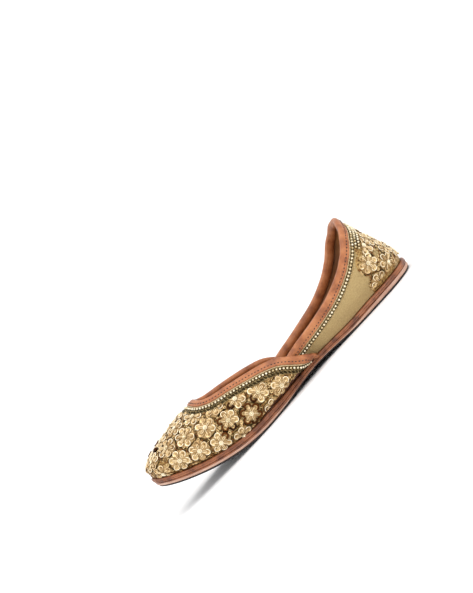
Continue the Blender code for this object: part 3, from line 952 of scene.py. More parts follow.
def heel_flower_places():
    table = np.array(HEEL_FLOWERS)
    table = np.vstack((table, table[table[:, 0] > 0] * (-1, 1)))
    return quarter_surface(table[:, 0], table[:, 1])


def near_heel_flowers(middle):
    return np.linalg.norm(middle[..., None, :] - heel_flower_places(), axis=-1).min(-1) < FLOWER_GROUND


def make_quarter(grid, tissue, brocade, lining):
    piece = two_cloths(grid, near_heel_flowers)
    return wall_object(piece, "quarter_cloth", [tissue, brocade, lining, lining], "tissue", "quarter")


# Bindings and the rows of trim along them


def binding_profile(outer, inner, inside, turn_in):
    """Depth below the topline and height off the wall, round the strip: outer leg, roll, inner leg."""
    groove = STITCH_DEPTH
    return (
        (BINDING_WIDTH, BINDING_GAP), (BINDING_WIDTH + 0.0001, outer * 0.6),
        (BINDING_WIDTH - 0.0003, outer * 0.95),
        (groove + 0.0007, outer), (groove + 0.0003, outer - 0.00006), (groove - 0.0003, outer - 0.00006),
        (groove - 0.0007, outer + 0.00004), (0.0018, outer + 0.00010), (0.0010, outer + 0.00008),
        (0.0004, outer), (-0.0004, outer * 0.86), (-0.0010, outer * 0.45),
        (-BINDING_GAP - BINDING_LEATHER, (outer + inside) / 2),
        (-0.0010, inside * 0.62 + outer * 0.05), (-0.0004, inside * 0.92), (0.0004, inside), (0.0018, inside),
        (turn_in, inside), (turn_in, inner), (0.0012, inner), (-BINDING_GAP, inner),
        (-BINDING_GAP, BINDING_GAP), (0.0018, BINDING_GAP), (0.0038, BINDING_GAP),
    )


def make_binding(name, wall, middle_last, turn_in, fade, taper, droop, material, node):
    outer = BINDING_GAP + BINDING_LEATHER
    inner = -(WALL + BINDING_GAP)
    inside = inner - BINDING_LEATHER
    rings = []
    top, top_out = wall.half(0.0)
    middle = -WALL / 2
    for depth, off in binding_profile(outer, inner, inside, turn_in):
        size = taper * fade if off < 0 and depth > 0 else taper
        points, normals = wall.half(depth)
        points = top + (points - top) * size[:, None]
        normals = top_out if off < 0 and depth > 0 else normals
        rings.append(points + normals * (middle + (off - middle) * taper)[:, None] + droop)
    half = np.array(rings).transpose(1, 0, 2)
    half[-1 if middle_last else 0, :, 1] = 0.0
    mirrored = half[::-1] * (1.0, -1.0, 1.0)
    whole = np.vstack((half, mirrored[1:])) if middle_last else np.vstack((mirrored, half[1:]))
    piece = Piece()
    run = run_along(whole[:, 0])
    turn = run_along(whole[len(whole) // 2])
    piece.sheet(whole, np.stack(np.broadcast_arrays(run[:, None], turn[None, :]), axis=-1), closed=True)
    for end in (0, len(whole) - 1):
        ring = np.arange(whole.shape[1]) + end * whole.shape[1]
        piece.more_faces(ring[None] if end else ring[None, ::-1])
    return piece.finish(name, [material], "binding", [node])


def trim_line(wall, depth, middle_last, lift=0.0):
    points, normals = wall.half(depth)
    keep = wall.reached(depth)
    if middle_last:
        keep = keep & (wall.runs > TRIM_START)
    points, normals = points[keep], normals[keep]
    points = points + normals * lift
    return Line(*both_sides(points, normals, middle_last))


def make_stitches(name, wall, middle_last, thread):
    """Short dark stitches, each sunk in the groove of the binding."""
    lift = BINDING_GAP + BINDING_LEATHER - 0.00004
    line = trim_line(wall, STITCH_DEPTH, middle_last, lift)
    count = int(line.length / STITCH_PITCH)
    piece = Piece()
    piece.stamp(purl_template(STITCH_LENGTH, STITCH_THREAD), *line.at((np.arange(count) + 0.5) * line.length / count))
    return piece.finish(name, [thread], "binding")


def make_cord(name, wall, middle_last, thread):
    line = trim_line(wall, CORD_DEPTH, middle_last, CORD_THICK * 0.5)
    points, normals, _ = line.at(np.linspace(0, line.length, int(line.length / 0.0009)))
    piece = Piece()
    piece.thread(points, normals, CORD_THICK / 2, sides=8)
    return piece.finish(name, [thread], "binding")


def bead_row(piece, wall, middle_last, depth, size, pitch, span=(-1.0, 1.0)):
    line = trim_line(wall, depth, middle_last, size * 0.42)
    count = int(line.length / pitch)
    run = (np.arange(count) + 0.5) * line.length / count
    away = np.abs(run - line.length / 2)
    piece.stamp(bead_template(size), *line.at(run[(away > span[0]) & (away < span[1])]))


def wave_thread(
    piece, wall, middle_last, depth, swing, pitch, radius, phase=0.0, sharp=False, span=(-1.0, 1.0)
):
    """A thread that swings to both sides of a line along the topline, within a span from its middle."""
    line = trim_line(wall, depth, middle_last, radius * 1.1)
    run = np.arange(0.0, line.length, pitch / 8)
    away = run - line.length / 2
    parts = [away] if span[0] <= 0 else [away[away < 0], away[away >= 0]]
    for part in parts:
        kept = part[(np.abs(part) > span[0]) & (np.abs(part) < span[1])] + line.length / 2
        points, normals, along = line.at(kept)
        turn = 2 * math.pi * kept / pitch + phase
        swinging = 2 / math.pi * np.arcsin(np.sin(turn)) if sharp else np.sin(turn)
        side = np.cross(along, normals)
        lift = normals * (radius * 0.9 * np.cos(turn))[:, None]
        piece.thread(points + side * (swing * swinging)[:, None] + lift, normals, radius, sides=5)


def bead_chain(row, chain, wall, middle_last, depth, span=(-1.0, 1.0)):
    """Beads with a dark chain of thread crossing between them."""
    bead_row(row, wall, middle_last, depth, BEAD_SIZE, BEAD_PITCH, span)
    for phase in (0.0, math.pi):
        wave_thread(chain, wall, middle_last, depth, 0.00120, 2 * BEAD_PITCH, 0.00028, phase, span=span)


def make_trim(label, wall, middle_last, finishes, with_lace, heel_rows):
    zari, dark, beads = finishes
    row = Piece()
    chain = Piece()
    bead_chain(row, chain, wall, middle_last, BEAD_DEPTH)
    for depth in heel_rows:
        bead_chain(row, chain, wall, middle_last, BEAD_DEPTH + depth, (-1.0, HEEL_ROWS_HALF))
    lace = Piece()
    wave_thread(lace, wall, middle_last, BEAD_DEPTH + 0.0016, 0.00006, 0.0016, 0.00024)
    if with_lace:
        depth = BEAD_DEPTH + LACE_DEPTH
        wave_thread(lace, wall, middle_last, depth, LACE_HALF, 0.0030, 0.00026, sharp=True)
        wave_thread(lace, wall, middle_last, depth + LACE_HALF + 0.0003, 0.00006, 0.0016, 0.00024)
        wave_thread(chain, wall, middle_last, depth, LACE_HALF, 0.0030, 0.00030, math.pi, sharp=True)
        for off in (-0.0005, 0.0005):
            wave_thread(chain, wall, middle_last, depth + off, 0.0002, 0.0022, 0.00032)
    row.finish(label + "_beads", [beads], "brocade")
    chain.finish(label + "_chain", [dark], "brocade")
    lace.finish(label + "_lace", [zari], "brocade")


# Embroidery

FLOWER_RING = 0.0056
CELL_SHARE = 0.90
FILL_START = 0.0076
PETALS = 6
PETAL_START = 0.0012
PETAL_END = 0.0056
PETAL_THREAD = 0.00034
PETAL_SPREAD = 0.00042
LOOP_RADIUS = 0.00205
LOOP_THREAD = 0.00038
# Thickness of the dark loops, widened to carry the painted dark reflection of the bronze sequins' rims.
BRONZE_REFLECTION_LOOP_THREAD = 0.00092
LOOP_HALF_ANGLE = 2.25
SEQUIN_SIZE = 0.0042
CENTRE_SIZE = 0.0034
ROW_PITCH = 0.0149
FIRST_ROW = 0.1818
COLUMN_PITCH = (
    # metres from the heel, pitch of the flowers round the section
    (0.1800, 0.0162),
    (0.2115, 0.0153),
    (0.2370, 0.0143),
)
HEXAGON = (
    (0.0094, 0.0), (0.0050, 0.0080), (-0.0050, 0.0080), (-0.0094, 0.0), (-0.0050, -0.0080), (0.0050, -0.0080),
)
BRONZE_REFLECTION_SPOTS = (
    # metres from the heel, metres round from the ridge, reach: where the sequins take the thick dark loops of painted
    # dark reflection
    (0.1674, 0.0556, 0.0080),
    (0.1845, 0.0508, 0.0070),
    (0.1583, 0.0471, 0.0030),
    (0.1726, 0.0420, 0.0030),
    (0.1926, 0.0541, 0.0030),
)
# Share of the sequins near the ridge that take the painted dark reflection, at random.
BRONZE_REFLECTION_CHANCE = 0.08
HEEL_FLOWERS = (
    # metres round from the back of the heel, height above the feather
    (0.0433, 0.0030), (0.0299, 0.0084), (0.0409, 0.0193), (0.0197, 0.0176), (0.0204, 0.0297),
    (0.0120, 0.0048),
    (0.0310, 0.0300), (0.0, 0.0150), (0.0, 0.0290), (0.0, 0.0420),
)
SNAP_REACH = 0.0032
BORDER = BEAD_DEPTH + 0.0044
HEEL_BORDER = BEAD_DEPTH + 0.0070


class Cloth:
    """The outer face of a wall, as the embroidery finds it."""

    def __init__(self, grid, wall, middle_last, borders):
        rows, columns = grid.shape[:2]
        index = grid_index(rows, columns)
        quads = quads_between(index).reshape(-1, 4)
        points = grid.reshape(-1, 3)
        points = np.vstack((points, points * (1.0, -1.0, 1.0)))
        quads = np.vstack((quads, quads + rows * columns))
        self.tree = BVHTree.FromPolygons(points.tolist(), quads.tolist())
        self.rim = both_sides(*wall.half(0.0), middle_last)[0][::3]
        self.borders = borders

    def depth(self, points):
        flat = points.reshape(-1, 3)
        nearest = [np.linalg.norm(self.rim - point, axis=1).min() for point in flat]
        return np.array(nearest).reshape(points.shape[:-1])

    def snap(self, wanted, toward):
        """Nearest places on the cloth, their normals, and whether each is inside its edges."""
        shape = wanted.shape
        toward = np.broadcast_to(toward, shape).reshape(-1, 3)
        found, normals, reached = [], [], []
        for point, way in zip(wanted.reshape(-1, 3), toward):
            place, normal, _, distance = self.tree.find_nearest(Vector(point))
            found.append(place)
            normals.append(normal if normal.dot(Vector(way)) > 0 else -normal)
            reached.append(distance < SNAP_REACH)
        points = np.array(found).reshape(shape)
        inside = np.array(reached).reshape(shape[:-1]) & self.inside(points)
        return points, np.array(normals).reshape(shape), inside

    def inside(self, points):
        border = self.borders(points)
        foot = curve(WING_EDGE, 1, points[..., 0] / SHOE_LENGTH)
        clear = points[..., 2] - feather_height(np.maximum(points[..., 0], 0.0)) > foot + 0.0006
        return clear & (self.depth(points) > border)


class Flowers:
    """Places of the flowers on one cloth, with the way each one faces."""

    def __init__(self, cloth, centres, normals, heading):
        self.cloth = cloth
        self.centres = centres
        self.normals = unit(normals)
        self.heading = unit(heading - self.normals * (heading * self.normals).sum(-1, keepdims=True))
        self.across = np.cross(self.normals, self.heading)

    def spread(self, shape):
        """Offsets in each flower's own plane, laid on the cloth."""
        shape = np.asarray(shape)
        ways = self.heading[:, None] * shape[None, :, :1] + self.across[:, None] * shape[None, :, 1:]
        return self.cloth.snap(self.centres[:, None] + ways, self.normals[:, None])

    def kept(self, choice):
        return Flowers(self.cloth, self.centres[choice], self.normals[choice], self.heading[choice])


def circle(radius, count, phase=0.0):
    turns = phase + np.arange(count) * 2 * math.pi / count
    return np.stack((np.cos(turns), np.sin(turns)), axis=-1) * radius


def turned(path, turn):
    cos, sin = math.cos(turn), math.sin(turn)
    return path @ np.array(((cos, sin), (-sin, cos)))


def polygon(corners, share, steps):
    """A closed outline of a cell, shrunk to a share of its size."""
    corners = np.array(corners) * share
    ahead = np.roll(corners, -1, axis=0)
    return np.vstack([a + (b - a) * np.arange(steps)[:, None] / steps for a, b in zip(corners, ahead)])


def laid_threads(piece, points, normals, inside, radius, lift, closed=False):
    """Threads along rows of places on the cloth, broken off where a place is outside it."""
    for path, ups, good in zip(points, normals, inside):
        if closed:
            path, ups, good = (np.concatenate((a, a[:1])) for a in (path, ups, good))
        start = None
        for i in range(len(path) + 1):
            on = i < len(path) and good[i]
            if on and start is None:
                start = i
            if not on and start is not None:
                if i - start > 2:
                    piece.thread(path[start:i] + ups[start:i] * lift, ups[start:i], radius, sides=5)
                start = None


def make_cell(piece, flower):
    """The pale cloth patch a flower is worked on, raised a little in the middle."""
    steps = 5
    shares = np.array((0.02, 0.35, 0.65, 0.92, 1.0)) * CELL_SHARE
    lifts = (0.0005, 0.00045, 0.00035, 0.0002, -0.0001)
    rings = [flower.spread(polygon(HEXAGON, share, steps)) for share in shares]
    points = np.array([ring[0][0] + ring[1][0] * lift for ring, lift in zip(rings, lifts)])
    inside = np.array([ring[2][0] for ring in rings])
    rows, columns = inside.shape
    index = grid_index(rows, columns)
    index = np.hstack((index, index[:, :1]))
    quads = np.stack((index[:-1, :-1], index[1:, :-1], index[1:, 1:], index[:-1, 1:]), axis=-1).reshape(-1, 4)
    quads = quads[inside.ravel()[quads].all(axis=1)]
    if len(quads):
        piece.add(points, [quads])


def make_petal(piece, flower, turn):
    """Two threads side by side from the middle of the flower into its sequin."""
    for side in (-1, 1):
        reach = np.linspace(PETAL_START, PETAL_END, 7)
        off = side * PETAL_SPREAD * np.array((0.5, 0.9, 1.2, 1.4, 1.3, 1.1, 0.7))
        path = turned(np.stack((reach, off), axis=-1), turn)
        points, normals, inside = flower.spread(path)
        arch = np.array((0.0005, 0.0009, 0.0011, 0.0012, 0.0012, 0.0012, 0.0010))
        laid_threads(piece, points + normals * arch[None, :, None], normals, inside, PETAL_THREAD, 0.0)


def make_loop(piece, flower, turn, thick):
    """The thick wire bent round the outer edge of one sequin, open toward the middle of the flower. On the gold
    flowers its pale cream is a painted highlight of the sequin's cupped rim; on the bronze ones its near-black is a
    painted dark reflection.
    """
    turns = np.linspace(-LOOP_HALF_ANGLE, LOOP_HALF_ANGLE, 13)
    path = np.stack((FLOWER_RING + LOOP_RADIUS * np.cos(turns), LOOP_RADIUS * np.sin(turns)), axis=-1)
    points, normals, inside = flower.spread(turned(path, turn))
    laid_threads(piece, points, normals, inside, thick, 0.0010 + thick * 0.4)


def make_flowers(label, flowers, is_bronze_reflection, phases, finishes, chance):
    dark_gold, petal_silk, cell, sequin, highlight_loop, bronze_sequin, bronze_reflection_loop, bead = finishes
    cells = Piece()
    petals = Piece()
    nets = Piece()
    centres = Piece()
    rings = {False: Piece(), True: Piece()}
    loops = {False: Piece(), True: Piece()}
    for index, phase in enumerate(phases):
        one = flowers.kept(slice(index, index + 1))
        make_cell(cells, one)
        turns = phase + np.arange(PETALS) * 2 * math.pi / PETALS
        points, normals, inside = one.spread(circle(FLOWER_RING, PETALS, phase))
        out = unit(points - one.centres[:, None])
        tilted = unit(normals + chance.normal(0.0, 0.08, normals.shape))
        # Sequins here take the bronze finish and a thick dark loop whose near-black is a painted dark reflection.
        dark = is_bronze_reflection(points)
        for kind, ring in rings.items():
            chosen = inside & (dark == kind)
            if chosen.any():
                lifted = (points + normals * 0.0007)[chosen]
                ring.stamp(sequin_template(SEQUIN_SIZE), lifted, tilted[chosen], out[chosen])
                for turn in turns[chosen[0]]:
                    make_loop(loops[kind], one, turn, BRONZE_REFLECTION_LOOP_THREAD if kind else LOOP_THREAD)
        for turn in turns:
            make_petal(petals, one, turn)
        laid_threads(nets, *one.spread(polygon(HEXAGON, 0.99, 6)), 0.00030, 0.0003, closed=True)
        point, normal, inside = one.spread([(0.0, 0.0)])
        if inside[0, 0]:
            for part, lift in ((sequin_template(CENTRE_SIZE, 14), 0.0014), (bead_template(CENTRE_SIZE / 2), 0.0016)):
                centres.stamp(part, point[0] + normal[0] * lift, normal[0], one.heading)
    cells.finish(label + "_cells", [cell], "brocade")
    petals.finish(label + "_petals", [petal_silk], "brocade")
    nets.finish(label + "_net", [dark_gold], "brocade")
    centres.finish(label + "_centres", [bead], "brocade")
    for kind, word, disc, wire in ((False, "gold", sequin, highlight_loop), (True, "bronze", bronze_sequin, bronze_reflection_loop)):
        if rings[kind].points:
            rings[kind].finish(f"{label}_{word}_sequins", [disc], "brocade")
            loops[kind].finish(f"{label}_{word}_loops", [wire], "brocade")


def make_fill(label, flowers, places, normals, inside, farthest, finishes, chance):
    """Short cuts of coiled wire and small sequins over the ground between the flowers."""
    gold, bronze, sequin = finishes
    far = np.array([np.linalg.norm(flowers.centres - place, axis=1).min() for place in places])
    keep = inside & (far > FILL_START) & (far < farthest)
    places, normals = places[keep], unit(normals[keep])
    ways = chance.normal(size=places.shape)
    kinds = chance.random(len(places))
    sizes = 0.8 + 0.45 * chance.random(len(places))
    for name, choice, template, lift, finish in (
        ("gold_wire", kinds < 0.36, purl_template(0.0019, 0.00030), 0.0004, gold),
        ("bronze_wire", (kinds >= 0.36) & (kinds < 0.84), purl_template(0.0017, 0.00030), 0.0004, bronze),
        ("small_sequins", kinds >= 0.84, sequin_template(0.0023, 12), 0.0006, sequin),
    ):
        piece = Piece()
        piece.stamp(template, (places + normals * lift)[choice], normals[choice], ways[choice], sizes[choice])
        piece.finish(f"{label}_{name}", [finish], "brocade")


def vamp_chart(x, arc):
    """Place on the vamp at x from the heel, this far round the section from the ridge, left being positive."""
    angles = np.linspace(90.0, FEATHER_ANGLE, 400)
    points = vamp_surface(np.full(400, x), angles)
    run = run_along(points)
    angle = np.interp(np.abs(arc), run, angles)
    side = np.stack((0 * arc + 1, np.where(arc < 0, -1.0, 1.0), 0 * arc + 1), axis=-1)
    return vamp_surface(np.full_like(angle, x), angle) * side, np.abs(arc) < run[-1] + 0.002


def ridge_stations(start, pitch, low, high):
    """Places along the shoe at an even pitch measured on the ridge of the vamp, one of them at the start."""
    x = np.linspace(low, high, 2000)
    points = vamp_surface(x, np.full_like(x, 90.0))
    run = run_along(points)
    zero = np.interp(start, x, run)
    first = math.ceil((run[0] - zero) / pitch)
    last = math.floor((run[-1] - zero) / pitch)
    order = np.arange(first, last + 1)
    return order, np.interp(zero + order * pitch, run, x)


def outward(points):
    """Rough way out of the vamp at each place, from a line inside it."""
    x = points[..., 0]
    return unit(points - np.stack((np.minimum(x, 0.222), 0 * x, 0 * x + 0.020), axis=-1))


def embroider_vamp(cloth, finishes, fills, chance):
    centres = []
    order, stations = ridge_stations(FIRST_ROW, ROW_PITCH, 0.096, FRONT - 0.0002)
    for row, x in zip(order, stations):
        half = 0.5 if row % 2 else 0.0
        around = (np.arange(-7, 7) + half) * np.interp(x, *np.transpose(COLUMN_PITCH))
        points, on = vamp_chart(x, around)
        centres.extend(points[on])
    centres = np.array(centres)
    points, normals, _ = cloth.snap(centres, outward(centres))
    flowers = Flowers(cloth, centres, normals, np.array((1.0, 0.0, 0.0)) + 0 * centres)
    flowers = flowers.kept(cloth.depth(points) > BORDER - 0.0060)
    spots = [(vamp_chart(x, np.array([around]))[0][0], reach) for x, around, reach in BRONZE_REFLECTION_SPOTS]

    # Where the sequins' rims take the painted dark reflection.
    def is_bronze_reflection(places):
        near = [np.linalg.norm(places - spot, axis=-1) < reach for spot, reach in spots]
        stray = chance.random(places.shape[:-1]) < BRONZE_REFLECTION_CHANCE
        return np.any(near, axis=0) | ((places[..., 1] < 0.010) & stray)

    phases = 0.12 + chance.random(len(flowers.centres)) * 0.25
    make_flowers("vamp", flowers, is_bronze_reflection, phases, finishes, chance)
    places = []
    for _, x in zip(*ridge_stations(FIRST_ROW, 0.0019, 0.096, FRONT - 0.0001)):
        around = np.arange(-0.09, 0.09, 0.0019)
        points, on = vamp_chart(x, around + chance.normal(0, 0.0004, len(around)))
        places.extend(points[on])
    places = np.array(places) + chance.normal(0, 0.0003, (len(places), 3))
    places, normals, inside = cloth.snap(places, outward(places))
    make_fill("vamp", flowers, places, normals, inside, 0.030, fills, chance)


def from_heel_middle(places):
    """Rough way out of the back of the quarter at each place."""
    return unit(places * (1, 1, 0) - np.array((0.040, 0.0, 0.0)))


def embroider_heel(cloth, finishes, fills, chance):
    centres = heel_flower_places()
    points, normals, _ = cloth.snap(centres, from_heel_middle(centres))
    near = cloth.depth(points) > cloth.borders(points) - 0.0060
    flowers = Flowers(cloth, points, normals, np.array((0.0, 0.0, 1.0)) + 0 * points).kept(near)
    phases = 0.12 + chance.random(len(flowers.centres)) * 0.25
    make_flowers("heel", flowers, lambda places: np.zeros(places.shape[:-1], bool), phases, finishes, chance)
    runs, heights = np.meshgrid(np.arange(-0.055, 0.055, 0.0016), np.arange(0.001, 0.056, 0.0016))
    runs, heights = runs.ravel() + chance.normal(0, 0.0004, runs.size), heights.ravel()
    places = quarter_surface(runs, heights)
    places, normals, inside = cloth.snap(places, from_heel_middle(places))
    make_fill("heel", flowers, places, normals, inside, 0.0094, fills, chance)


# Inside

FLAP_EDGE = ((0.095, 1.00), (0.160, 1.00), (0.422, 0.00), (0.428, 0.00), (0.560, 0.69), (0.600, 1.19))
FLAP_SHOULDER_HALF = 0.0207
FLAP_LEATHER = 0.0010
PATCH_LEATHER = 0.0006
TIE_SHARE = 0.425
STITCH_ROUTE = (
    # share of the length, half width: the running stitch from the heel to the tie and out again
    (0.110, 0.0240), (0.140, 0.0238), (0.165, 0.0228), (0.391, 0.0073), (0.400, 0.0070), (0.412, 0.0100),
    (0.556, 0.0262),
)
RUNNING_PITCH = 0.0062


def inner_foot(x):
    share = x / SHOE_LENGTH
    tuck = TUCK * smooth_step(TUCK_START, TUCK_END, share) * (1 - smooth_step(0.60, 0.65, share))
    return FEATHER_INSET + WALL + 2 * GAP + tuck + 0.0012 * smooth_step(0.84, 0.96, share)


def flap_level(x):
    return insole_top(x) + 2 * GAP + PATCH_LEATHER


def make_flaps(leather_finish):
    corners, widths = np.transpose(FLAP_EDGE)
    shares = np.unique(np.concatenate((np.linspace(corners[0], corners[-1], 130), corners)))
    x = shares * SHOE_LENGTH
    edge = np.interp(shares, corners, widths)
    inner = np.maximum(edge * FLAP_SHOULDER_HALF, 0.0005)
    outer = sole_half_width(x) - inner_foot(x)
    low = flap_level(x)
    across = np.linspace(0, 1, 16)
    y = inner[:, None] + (outer - inner)[:, None] * across
    curl = 0.0007 * np.exp(-(((y - inner[:, None]) / 0.003) ** 2)) + 0.0030 * smooth_step(0.45, 1.0, across) ** 2
    wave = 0.00025 * np.sin(x[:, None] / 0.0085 + 3.0 * across) * np.sin(math.pi * across)
    under = low[:, None] + curl + np.abs(wave)
    top = under + FLAP_LEATHER
    ring_y = np.hstack((y, y[:, ::-1], y[:, :1] - 0.0003))
    ring_z = np.hstack((under, top[:, ::-1], under[:, :1] + FLAP_LEATHER / 2))
    grid = np.stack((x[:, None] + 0 * ring_y, ring_y, ring_z), axis=-1)
    for side, label in ((1.0, "left"), (-1.0, "right")):
        turned = grid * (1.0, side, 1.0)
        piece = Piece()
        piece.sheet(turned[::-1] if side > 0 else turned, turned[..., :2], closed=True)
        ring = np.arange(grid.shape[1])
        for end in (ring[None], ring[None, ::-1] + (len(grid) - 1) * grid.shape[1]):
            piece.more_faces(end)
        piece.finish("lining_flap_" + label, [leather_finish], "lining", ["flap_" + label])


def make_running_stitches(thread):
    route = np.array(STITCH_ROUTE) * (SHOE_LENGTH, 1.0)
    run = run_along(route)
    at = np.arange(RUNNING_PITCH / 2, run[-1], RUNNING_PITCH)
    x, y = (np.interp(at, run, route[:, k]) for k in (0, 1))
    ahead_x, ahead_y = (np.interp(at + 0.001, run, route[:, k]) - value for k, value in ((0, x), (1, y)))
    z = flap_level(x) + FLAP_LEATHER + 0.0003
    normals = np.array((0.0, 0.0, 1.0)) + np.zeros((len(at), 3))
    piece = Piece()
    for side in (1.0, -1.0):
        places = np.stack((x, y * side, z), axis=-1)
        ahead = np.stack((ahead_x, ahead_y * side, 0 * x), axis=-1)
        piece.stamp(purl_template(0.0025, STITCH_THREAD), places, normals, ahead)
    across = np.linspace(-1, 1, 9)
    for slant in (1.0, -1.0):
        for shift in (-0.0004, 0.0004):
            xs = TIE_SHARE * SHOE_LENGTH + across * 0.0024 + shift
            zs = flap_level(xs) + FLAP_LEATHER + 0.0011 * (1 - across**2) + 0.0001
            places = np.stack((xs, slant * across * 0.0026 + shift, zs), axis=-1)
            piece.thread(places, np.array((0.0, 0.0, 1.0)) + 0 * places, 0.00040, sides=6)
    piece.finish("flap_stitches", [thread], "lining")


def refinish(node, material):
    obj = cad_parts[node]
    obj.data.materials.clear()
    obj.data.materials.append(material)


# Stage

CAMERA_AZIMUTH = 174.54
CAMERA_ELEVATION = 6.30
CAMERA_ROLL = 47.0
CAMERA_DISTANCE = 1.2
CAMERA_LENS = 97.11
TARGET = Vector((0.0, 0.0, 0.020))
TARGET_PIXEL = (278.93, 368.32)
FRAME_SIZE = (473, 593)


def make_camera():
    """The photograph's view: the shoe from its left, rolled so that its toe points down to the left."""
    data = bpy.data.cameras.new("camera")
    data.lens = CAMERA_LENS
    data.sensor_width = 36.0
    camera = bpy.data.objects.new("camera", data)
    bpy.context.scene.collection.objects.link(camera)
    turn, rise = math.radians(CAMERA_AZIMUTH), math.radians(CAMERA_ELEVATION)
    back = Vector((math.sin(turn) * math.cos(rise), -math.cos(turn) * math.cos(rise), math.sin(rise)))
    level = (-back).to_track_quat("-Z", "Y").to_matrix()
    roll = math.radians(CAMERA_ROLL)
    right = level.col[0] * math.cos(roll) - level.col[1] * math.sin(roll)
    up = level.col[0] * math.sin(roll) + level.col[1] * math.cos(roll)
    reach = data.lens / data.sensor_width * max(FRAME_SIZE)
    off_right = (TARGET_PIXEL[0] - FRAME_SIZE[0] / 2) / reach
    off_up = (FRAME_SIZE[1] / 2 - TARGET_PIXEL[1]) / reach
    place = TARGET + back * CAMERA_DISTANCE
    aim = (back + right * off_right + up * off_up).normalized()
    right = (right - aim * right.dot(aim)).normalized()
    up = aim.cross(right)
    matrix = camera.matrix_world.copy()
    for column, vector in enumerate((right, up, aim, place)):
        for k in range(3):
            matrix[k][column] = vector[k]
    camera.matrix_world = matrix
    bpy.context.scene.camera = camera


def make_light(name, place, size, power, target=(0.0, 0.0, 0.02), colour=(1.0, 1.0, 1.0)):
    data = bpy.data.lights.new(name, "AREA")
    data.shape = "SQUARE"
    data.size = size
    data.energy = power
    data.color = colour
    light = bpy.data.objects.new(name, data)
    bpy.context.scene.collection.objects.link(light)
    light.location = place
    light.rotation_mode = "QUATERNION"
    light.rotation_quaternion = (Vector(target) - Vector(place)).to_track_quat("-Z", "Y")


STAGE_FLAT = 1.3
STAGE_RADIUS = 2.6
STAGE_HEIGHT = 1.5


def make_stage():
    """A white floor that curves up into a round wall, open above to the light of the room."""
    bend = STAGE_RADIUS - STAGE_FLAT
    turns = np.linspace(0.0, math.pi / 2, 17)
    reach = np.concatenate(((0.0, 0.4, 0.8), STAGE_FLAT + bend * np.sin(turns)))
    height = np.concatenate(((0.0, 0.0, 0.0), STAGE_HEIGHT * (1 - np.cos(turns))))
    ways = np.linspace(0.0, 2 * math.pi, 97)[:, None]
    floor = Piece()
    floor.sheet(np.stack((np.cos(ways) * reach, np.sin(ways) * reach, height + 0 * ways), axis=-1))
    white = Finish("floor_white", (0.95, 0.95, 0.95), 0.9, specular=0.2)
    obj = floor.finish("floor", [white.material], world=False)
    world = bpy.data.worlds.new("studio")
    world.use_nodes = True
    world.node_tree.nodes["Background"].inputs["Color"].default_value = (1.0, 1.0, 1.0, 1.0)
    world.node_tree.nodes["Background"].inputs["Strength"].default_value = 1.05
    bpy.context.scene.world = world
    bpy.context.scene.view_settings.view_transform = "Standard"
    make_light("key", (-0.5, 0.9, 1.1), 1.2, 10.0)
    make_light("toe_fill", (1.0, 0.8, 0.5), 0.8, 2.5)
    make_light("rim", (0.2, -0.5, 1.6), 1.6, 5.0)


# The whole shoe


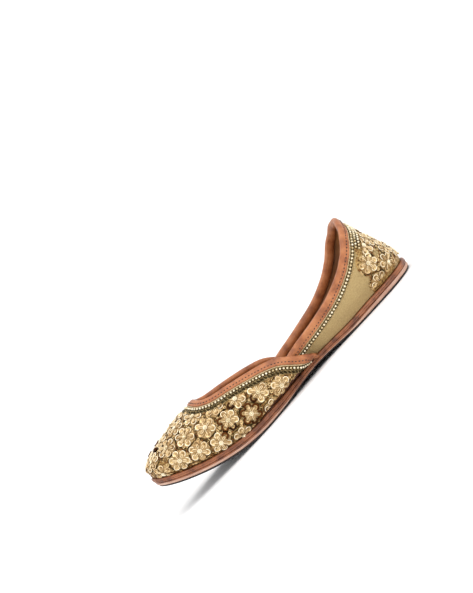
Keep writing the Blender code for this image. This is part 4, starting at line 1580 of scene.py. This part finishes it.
def main():
    chance = np.random.default_rng(7)
    wing_runs = np.linspace(TOPLINE_START, 1.0, RIM_COUNT)
    vamp_wall = Wall(vamp_surface, vamp_rim, (0.0004, 0.5), FEATHER_ANGLE + 2.0, wing_runs, 0.0135)
    collar_runs = np.linspace(0.0, 1.0, RIM_COUNT)
    quarter_wall = Wall(quarter_surface, quarter_rim, (0.0004, 0.0004), 0.001, collar_runs, 0.0200)
    tans = (rgb(152, 102, 52), rgb(140, 90, 44), rgb(116, 72, 34))
    lining = leather("lining_leather", *tans, 0.52, 0.04, cloud_size=26.0)
    # Brown leather darkened with painted shade: it stands for the shadowed gap under the wing's cloth edge.
    dark = leather("gap_leather_painted_shade", rgb(108, 62, 36), rgb(80, 42, 22), rgb(48, 24, 12), 0.50)
    binding = leather("binding_leather", rgb(192, 126, 78), rgb(174, 106, 60), rgb(136, 76, 38), 0.50, 0.05, 0.05)
    brocade = ground_cloth()
    tissue = tissue_cloth()
    zari = metal_thread("zari", rgb(214, 192, 142), rgb(142, 116, 70), 0.34)
    dark_zari = metal_thread("dark_zari", rgb(84, 70, 38), rgb(34, 26, 14), 0.38)
    silk = stamped_metal("petal_silk", rgb(238, 214, 170), rgb(176, 138, 86), 0.36, 0.6)
    cell = cell_cloth()
    sequin = stamped_metal("sequin_gold", rgb(198, 168, 118), rgb(140, 108, 66), 0.30)
    # Wire round each gold sequin's rim: its near-white cream is a painted highlight of the light on the sequin's
    # cupped rim.
    highlight_loop = stamped_metal("loop_gold_painted_highlight", rgb(248, 232, 200), rgb(196, 160, 108), 0.26)
    bronze = stamped_metal("sequin_bronze", rgb(196, 164, 112), rgb(140, 106, 60), 0.28)
    # Dark brown wire round the bronze sequins' rims: partly the bronze's own colour, its near-black a painted dark
    # reflection of the sequins.
    bronze_reflection_loop = stamped_metal("loop_bronze_painted_reflection", rgb(88, 50, 20), rgb(44, 22, 8), 0.36, 0.95, coat=0.0)
    gold_wire = stamped_metal("gold_wire", rgb(226, 196, 142), rgb(150, 116, 68), 0.28)
    bronze_wire = stamped_metal("bronze_wire", rgb(150, 96, 50), rgb(78, 44, 20), 0.34)
    beads = bead_glass()
    cream = cotton_thread("cream_cord", rgb(236, 216, 178), rgb(190, 160, 112))
    white = cotton_thread("white_thread", rgb(240, 226, 200), rgb(196, 176, 144))
    stitch = cotton_thread("binding_thread", rgb(78, 38, 22), rgb(48, 22, 12))

    make_sole()
    refinish("insole", lining)
    refinish("waist_patch", black_cloth())
    make_flaps(lining)
    make_running_stitches(white)

    vamp_points = vamp_grid()
    quarter_points = quarter_grid()
    make_vamp(vamp_points, brocade, dark, lining)
    make_quarter(quarter_points, tissue, brocade, lining)
    fade = smooth_step(-0.05, 0.30, wing_runs)
    taper = 0.25 + 0.75 * smooth_step(0.0, 0.15, wing_runs)
    droop = wing_droop(wing_runs)[:, None] * np.array((0.0008, 0.0, -0.0032))
    make_binding("throat_binding", vamp_wall, True, VAMP_TURN_IN, fade, taper, droop, binding, "vamp_binding")
    even = np.ones(RIM_COUNT)
    make_binding("collar_binding", quarter_wall, False, QUARTER_TURN_IN, even, even, 0.0, binding, "quarter_binding")
    for label, wall, middle_last in (("throat", vamp_wall, True), ("collar", quarter_wall, False)):
        make_stitches(label + "_stitches", wall, middle_last, stitch)
        make_cord(label + "_cord", wall, middle_last, cream)
        heel_rows = () if middle_last else HEEL_ROWS
        make_trim(label, wall, middle_last, (zari, dark_zari, beads), middle_last, heel_rows)

    finishes = (dark_zari, silk, cell, sequin, highlight_loop, bronze, bronze_reflection_loop, beads)
    fills = (gold_wire, bronze_wire, sequin)
    embroider_vamp(Cloth(vamp_points, vamp_wall, True, lambda points: BORDER), finishes, fills, chance)

    def heel_border(points):
        return np.where(points[..., 0] < 0.036, HEEL_BORDER, BORDER)

    embroider_heel(Cloth(quarter_points, quarter_wall, False, heel_border), finishes, fills, chance)

    make_stage()
    make_camera()
    bpy.context.view_layer.update()


main()
